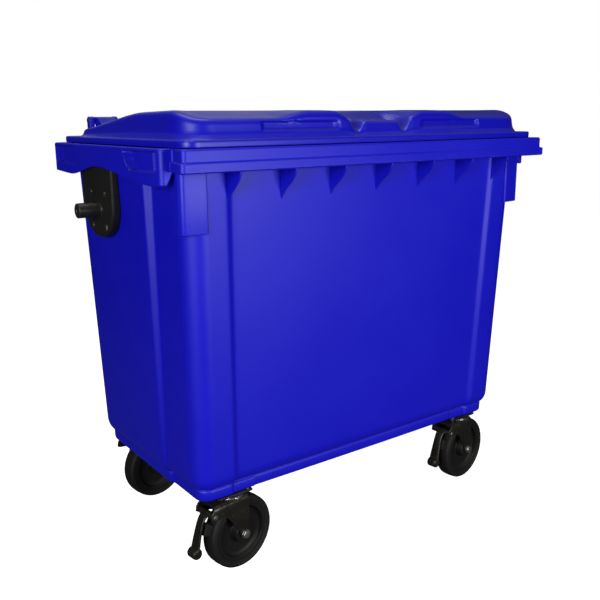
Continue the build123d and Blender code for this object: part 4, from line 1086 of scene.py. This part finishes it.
# Pressed fork: one strip that runs up one leg, over the crown and down the other. Its front and rear
# edges are the leg's outline, read by height, and the crown bulges to a disc over the race.
def makeFork(crownTop, axleZ, trail, origin, forward, axle):
    form = castorForm
    half = form["sheet"] / 2
    top = crownTop - half
    side = form["legGap"] + half
    bend = form["bend"]
    heights = np.concatenate([
        axleZ - form["foot"] * np.cos(np.linspace(0.12, math.pi / 2, 9)),
        np.linspace(axleZ + 0.006, crownTop - 0.036, 10), np.linspace(crownTop - 0.034, crownTop - 0.024, 9),
        np.linspace(crownTop - 0.020, top - bend, 3)])
    leg = np.stack([np.full(len(heights), -side), heights], 1)
    turn = np.linspace(0, math.pi / 2, 8)[1:]
    arc = np.stack([-side + bend * (1 - np.cos(turn)), top - bend + bend * np.sin(turn)], 1)
    flat = np.linspace(-side + bend, 0, 12)[1:]
    crown = np.stack([flat, np.full(len(flat), top)], 1)
    halfPath = np.concatenate([leg, arc, crown])
    path = np.concatenate([halfPath, (halfPath * (-1, 1))[-2::-1]])
    z = path[:, 1]
    frontZ = [axleZ, axleZ + 0.016, crownTop - 0.040, crownTop - 0.0375, crownTop - 0.034, crownTop - 0.030,
              crownTop - 0.016, crownTop]
    frontU = [trail - form["foot"], trail - 0.020, -0.042, -0.060, -0.086, -form["nose"],
              -form["nose"] + 0.002, -form["crownFront"]]
    low = np.interp(z, frontZ, frontU)
    high = np.interp(z, [axleZ, crownTop], [trail + form["foot"], form["crownRear"]])
    drop = np.clip((axleZ - z) / form["foot"], 0, 1)
    foot = form["foot"] * np.sqrt(np.clip(1 - drop ** 2, 0, 1))
    low = np.where(z < axleZ, trail - foot, low)
    high = np.where(z < axleZ, trail + foot, high)
    reach = np.sqrt(np.clip(form["crownRound"] ** 2 - path[:, 0] ** 2, 0, None))
    high = np.where(z > top - bend * 0.3, np.maximum(high, reach), high)
    basis = np.array([axle, (0, 0, 1), forward])
    return sheetStrip(path, low, high, form["sheet"], 0.0012, origin, basis)


# Foot pedal: an eye round the pivot, a strip along a cubic Bezier curve down to a round tip.
# Its half width is pinched by a sine between the two ends.
def makePedal(pivot, knee, tip, origin, forward, axle):
    form = brakeForm
    s = np.linspace(0, 1, 26)[:, None]
    control = np.array([pivot, pivot + (-0.020, 0.004), knee + (-0.006, 0.016), tip + (0.002, 0.006)])
    path = ((1 - s) ** 3 * control[0] + 3 * s * (1 - s) ** 2 * control[1]
            + 3 * s ** 2 * (1 - s) * control[2] + s ** 3 * control[3])
    width = form["width"] * (1 - form["pinch"] * np.sin(np.linspace(0, math.pi, 26)))
    basis = np.array([forward, (0, 0, 1), axle])
    strip = sheetStrip(path, -width, width, form["sheet"], form["edge"], origin, basis)
    turn = np.linspace(0, 2 * math.pi, 40, endpoint=False)
    circle = np.stack([np.cos(turn), np.sin(turn)], 1)
    wide, long = form["width"], form["eyeHalf"]
    end = slab(tip + form["tip"] * circle, -wide, wide, form["tipEdge"], origin, basis, steps=7)
    eye = slab(pivot + form["eye"] * circle, -long, long, form["eyeEdge"], origin, basis)
    return [strip, end, eye]


# Brake shoe: a block between two arcs about the axle.
def makeShoe(radius, axleZ, trail, origin, forward, axle):
    form = brakeForm
    turn = np.radians(np.linspace(*form["shoeArc"], 12))
    ray = np.stack([np.cos(turn), np.sin(turn)], 1)
    hub = np.array([trail, axleZ])
    inner = hub + ray * (radius + form["shoeInner"])
    outer = hub + ray * (radius + form["shoeOuter"])
    outline = np.concatenate([inner, outer[::-1]])
    basis = np.array([forward, (0, 0, 1), axle])
    return slab(outline, -form["shoeHalf"], form["shoeHalf"], form["shoeEdge"], origin, basis)


# A bolt across the fork: a washer and a rounded hexagon at each end.
def makeCrossPin(place, shank, head, headHeight, reach, origin, forward, axle):
    basis = np.array([forward, (0, 0, 1), axle])
    washer = headHeight * 0.2
    around = hexagon(head) + place
    surfaces = [
        slab(around, reach + washer, reach + headHeight, headHeight * 0.18, origin, basis),
        slab(around, -reach - headHeight, -reach - washer, headHeight * 0.18, origin, basis),
    ]
    centre = np.asarray(origin, float) + place[0] * np.asarray(forward) + np.array([0, 0, place[1]])
    profile = [(0.0, -reach - washer), (head * 1.06, -reach - washer), (head * 1.06, -reach), (shank, -reach)]
    profile += [(r, -a) for r, a in reversed(profile)]
    return surfaces + [turned(profile, centre, axle, 32)]


# Tyre: a closed section swept round the axle, with two ribs on the wall and a tread that is a little crowned.
def makeTyre(radius, centre, axle):
    form = castorForm
    half = form["tyreHalf"]
    inner = radius - form["tyreWall"]
    side = [(inner, half - 0.004), (inner + 0.003, half - 0.0008), (inner + 0.006, half - 0.0022),
            (inner + 0.0085, half), (radius - 0.0012, half), (radius - form["treadCrown"], 0.010),
            (radius, 0.0)]
    reaches = [0.001, 0.001, 0.0008, 0.0012, 0.0095, 0.004, 0.0015]
    points = side + [(r, -a) for r, a in reversed(side[:-1])]
    return turned(softProfile(points, reaches + reaches[:-1][::-1]), centre, axle, 96, closed=True)


# Hub: a closed section swept round the axle, a long boss, a thin web and a wide rim under the tyre.
def makeHub(radius, centre, axle):
    form = castorForm
    outer = radius - form["tyreWall"]
    rim = outer - form["rimWall"]
    side = [(form["bush"], form["bossHalf"]), (form["boss"], form["bossHalf"]),
            (form["boss"] + 0.002, form["webHalf"]), (rim - 0.012, form["webHalf"]),
            (rim - 0.003, form["webHalf"] + 0.003), (rim, form["rimHalf"]), (outer + 0.0004, form["rimHalf"])]
    reaches = [0.0008, 0.002, 0.0025, 0.003, 0.004, 0.0012, 0.0006]
    points = side + [(r, -a) for r, a in reversed(side)]
    return [turned(softProfile(points, reaches + reaches[::-1]), centre, axle, 72, closed=True)]


# One castor. Forward is the level direction from the kingpin to the wheel, the axle lies across it,
# and trail is how far apart the two are.
def makeCastor(station):
    form = castorForm
    pinLow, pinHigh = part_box(station + "_kingpin")
    tyreLow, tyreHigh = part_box(station + "_tyre")
    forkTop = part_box(station + "_fork")[1].z
    swivel = np.array([(pinLow.x + pinHigh.x) / 2, (pinLow.y + pinHigh.y) / 2, 0.0])
    wheel = np.array((tyreLow + tyreHigh) / 2)
    radius = (tyreHigh.z - tyreLow.z) / 2
    offset = (wheel - swivel) * (1, 1, 0)
    trail = float(np.linalg.norm(offset))
    forward = offset / trail
    axle = np.array([-forward[1], forward[0], 0.0])
    axleZ = wheel[2]
    words = station.split("_")
    forkBody = "fork_" + station
    wheelBody = "wheel_" + station
    short = words[0] + words[1].capitalize()

    # the piece is named after its castor and replaces that castor's node
    def put(label, surfaces, finish, body, node):
        name = station + "_" + node
        makePiece(short + label, surfaces, finishes[finish], body, [name])

    put("Fork", [makeFork(forkTop, axleZ, trail, swivel, forward, axle)], "forkSteel", forkBody, "fork")
    put("Tyre", [makeTyre(radius, wheel, axle)], "tyreRubber", wheelBody, "tyre")
    put("WheelHub", makeHub(radius, wheel, axle), "wheelPlastic", wheelBody, "wheel_hub")
    bore, outer, half = form["bushBore"], form["bushOuter"], form["bushHalf"]
    sleeve = softProfile([(bore, -half), (outer, -half), (outer, half), (bore, half)],
                         [0.0003, 0.0008, 0.0008, 0.0003])
    put("WheelBush", [turned(sleeve, wheel, axle, 40, closed=True)], "brightSteel", wheelBody, "wheel_bush")
    reach = form["legGap"] + crossPins["reach"]
    put("Axle", makeCrossPin(np.array([trail, axleZ]), *crossPins["axle"], reach, swivel, forward, axle),
        "brightSteel", forkBody, "axle")
    raceLow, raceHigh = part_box(station + "_ball_race")
    outer = (raceHigh.x - raceLow.x) / 2
    middle = (raceLow.z + raceHigh.z) / 2
    bore = form["raceBore"]
    race = [(bore, raceLow.z), (outer, raceLow.z), (outer, middle - 0.0009), (outer - 0.0016, middle),
            (outer, middle + 0.0009), (outer, raceHigh.z), (bore, raceHigh.z)]
    race = softProfile(race, [0.0004] + [0.0006] * 5 + [0.0004])
    put("BallRace", [turned(race, swivel, (0, 0, 1), 64, closed=True)], "brightSteel", "body", "ball_race")
    head = pinLow.z
    under = head + form["headHeight"]
    shank, wide = form["kingpinShank"], form["kingpinHead"]
    kingpin = [(0.0, head), (shank, head), (0.0145, head + 0.0010), (wide, head + 0.0026), (wide, under),
               (shank, under), (shank, pinHigh.z), (0.0, pinHigh.z)]
    put("Kingpin", [turned(kingpin, swivel, (0, 0, 1), 40)], "brightSteel", "body", "kingpin")
    plateLow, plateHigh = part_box(station + "_top_plate")
    corners = [(plateLow.x, plateLow.y), (plateHigh.x, plateLow.y), (plateHigh.x, plateHigh.y),
               (plateLow.x, plateHigh.y)]
    outline = roundedOutline(corners, [form["plateCorner"]] * 4, [7] * 4, [3] * 4)
    put("TopPlate", [slab(outline, plateLow.z, plateHigh.z - 0.0002, 0.0010)], "forkSteel", "body",
        "top_plate")
    boltLow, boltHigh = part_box(station + "_plate_bolts")
    bolts = []
    aside = form["boltFromEdge"]
    low = boltLow.z
    shank, wide = form["boltShank"], form["boltHead"]
    # a domed head with a socket in it, then the shank
    profile = [(0.0, low + 0.0018), (0.0026, low + 0.0018), (0.003, low), (0.0052, low),
               (0.0068, low + 0.0012), (wide, low + 0.004), (shank, low + 0.004), (shank, boltHigh.z),
               (0.0, boltHigh.z)]
    for x in (boltLow.x + aside, boltHigh.x - aside):
        for y in (boltLow.y + aside, boltHigh.y - aside):
            bolts.append(turned(profile, (x, y, 0), (0, 0, 1), 24))
    put("PlateBolts", bolts, "brightSteel", "body", "plate_bolts")
    if words[0] == "front":
        pedalBody = "pedal_" + station
        pinMid = np.array(sum(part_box(station + "_brake_pin"), Vector()) / 2)
        pivot = np.array([(pinMid - swivel) @ forward, pinMid[2]])
        knee, tip = (
            np.array([trail - (radius + out) * math.cos(math.radians(angle)),
                      axleZ + (radius + out) * math.sin(math.radians(angle))])
            for out, angle in (brakeForm["knee"], brakeForm["end"]))
        put("BrakePedal", makePedal(pivot, knee, tip, swivel, forward, axle), "forkSteel", pedalBody,
            "brake_pedal")
        put("BrakeShoe", [makeShoe(radius, axleZ, trail, swivel, forward, axle)], "sealRubber", pedalBody,
            "brake_shoe")
        put("BrakePin", makeCrossPin(pivot, *crossPins["brake"], reach, swivel, forward, axle), "brightSteel",
            forkBody, "brake_pin")


for station in stations:
    makeCastor(station)
print("castors made")


stageForm = {
    "floorHalf": 30.0, "floorSeen": 0.86, "floorUnseen": 0.12, "floorGlow": 0.95, "worldGlow": 0.06,
}
# each lamp's place, the point it faces, its sides in metres and its power in watts
softboxes = {
    "keyLight": ((0.3, -3.0, 1.0), (-0.1, -0.3, 0.7), (1.1, 1.1), 62.0),
    "fillLight": ((-3.2, -2.0, 1.4), (-0.5, -0.1, 0.7), (1.4, 1.4), 104.0),
    "overheadLight": ((-0.4, 0.1, 3.4), (-0.2, 0.0, 1.2), (1.6, 1.2), 34.0),
    "topLight": ((0.9, 2.6, 2.3), (-0.2, -0.1, 1.2), (2.6, 0.9), 5.0),
}


# The floor glows a little for the eye so that it reads as white paper; for other rays it is darker.
def makeFloor():
    half = stageForm["floorHalf"]
    corners = [(-half, -half, 0), (half, -half, 0), (half, half, 0), (-half, half, 0)]
    mesh = bpy.data.meshes.new("floor")
    mesh.from_pydata(corners, [], [(0, 1, 2, 3)])
    floor = bpy.data.objects.new("floor", mesh)
    bpy.context.scene.collection.objects.link(floor)
    material = bpy.data.materials.new("paleFloor")
    material.use_nodes = True
    tree = material.node_tree
    shader = tree.nodes["Principled BSDF"]
    path = tree.nodes.new("ShaderNodeLightPath")
    seen = path.outputs["Is Camera Ray"]
    low, high = stageForm["floorUnseen"], stageForm["floorSeen"]
    paint = mixColour(tree, seen, (low, low, low, 1), (high, high, high, 1))
    tree.links.new(paint, shader.inputs["Base Color"])
    glow = addNode(tree, "ShaderNodeMath", {"operation": "MULTIPLY"}, {0: seen, 1: stageForm["floorGlow"]})
    shader.inputs["Emission Color"].default_value = (1, 1, 1, 1)
    tree.links.new(glow.outputs["Value"], shader.inputs["Emission Strength"])
    shader.inputs["Roughness"].default_value = 0.9
    shader.inputs["Specular IOR Level"].default_value = 0.0
    mesh.materials.append(material)


# A rectangular lamp turned so that it faces its target.
def makeSoftbox(name, place, target, size, power):
    data = bpy.data.lights.new(name, "AREA")
    data.shape = "RECTANGLE"
    data.size, data.size_y = size
    data.energy = power
    lamp = bpy.data.objects.new(name, data)
    lamp.location = place
    lamp.rotation_euler = (Vector(target) - Vector(place)).to_track_quat("-Z", "Y").to_euler()
    bpy.context.scene.collection.objects.link(lamp)


# White surroundings for the eye, dimmer ones for the light they give.
def makeWorld():
    world = bpy.data.worlds.new("studio")
    bpy.context.scene.world = world
    world.use_nodes = True
    tree = world.node_tree
    tree.nodes.clear()
    path = tree.nodes.new("ShaderNodeLightPath")
    seen = tree.nodes.new("ShaderNodeBackground")
    seen.inputs["Strength"].default_value = 1.0
    seen.inputs["Color"].default_value = (1, 1, 1, 1)
    glow = tree.nodes.new("ShaderNodeBackground")
    glow.inputs["Strength"].default_value = stageForm["worldGlow"]
    glow.inputs["Color"].default_value = (1, 1, 1, 1)
    mix = tree.nodes.new("ShaderNodeMixShader")
    out = tree.nodes.new("ShaderNodeOutputWorld")
    tree.links.new(path.outputs["Is Camera Ray"], mix.inputs[0])
    tree.links.new(glow.outputs[0], mix.inputs[1])
    tree.links.new(seen.outputs[0], mix.inputs[2])
    tree.links.new(mix.outputs[0], out.inputs[0])


# place in metres from the floor below the middle of the bin; yaw, pitch and roll in degrees
cameraForm = {
    "place": (-1.39855, -1.86655, 1.20236), "yaw": -36.32, "pitch": 13.52, "roll": -0.47, "lens": 45.563,
    "sensor": 36.0,
}


# The line of sight from yaw and pitch; roll then turns the level and the upright about it.
def makeCamera():
    form = cameraForm
    yaw, pitch, roll = (math.radians(form[key]) for key in ("yaw", "pitch", "roll"))
    look = np.array([-math.sin(yaw) * math.cos(pitch), math.cos(yaw) * math.cos(pitch), -math.sin(pitch)])
    level = np.array([math.cos(yaw), math.sin(yaw), 0.0])
    above = np.cross(level, look)
    right = math.cos(roll) * level + math.sin(roll) * above
    up = -math.sin(roll) * level + math.cos(roll) * above
    data = bpy.data.cameras.new("camera")
    data.lens = form["lens"]
    data.sensor_width = form["sensor"]
    camera = bpy.data.objects.new("camera", data)
    turn = Matrix([[right[k], up[k], -look[k]] for k in range(3)]).to_4x4()
    camera.matrix_world = Matrix.Translation(Vector(form["place"])) @ turn
    bpy.context.scene.collection.objects.link(camera)
    bpy.context.scene.camera = camera


makeFloor()
makeWorld()
for lampName, lampForm in softboxes.items():
    makeSoftbox(lampName, *lampForm)
makeCamera()
bpy.context.scene.view_settings.view_transform = "Standard"
print("floor, lights and camera made")
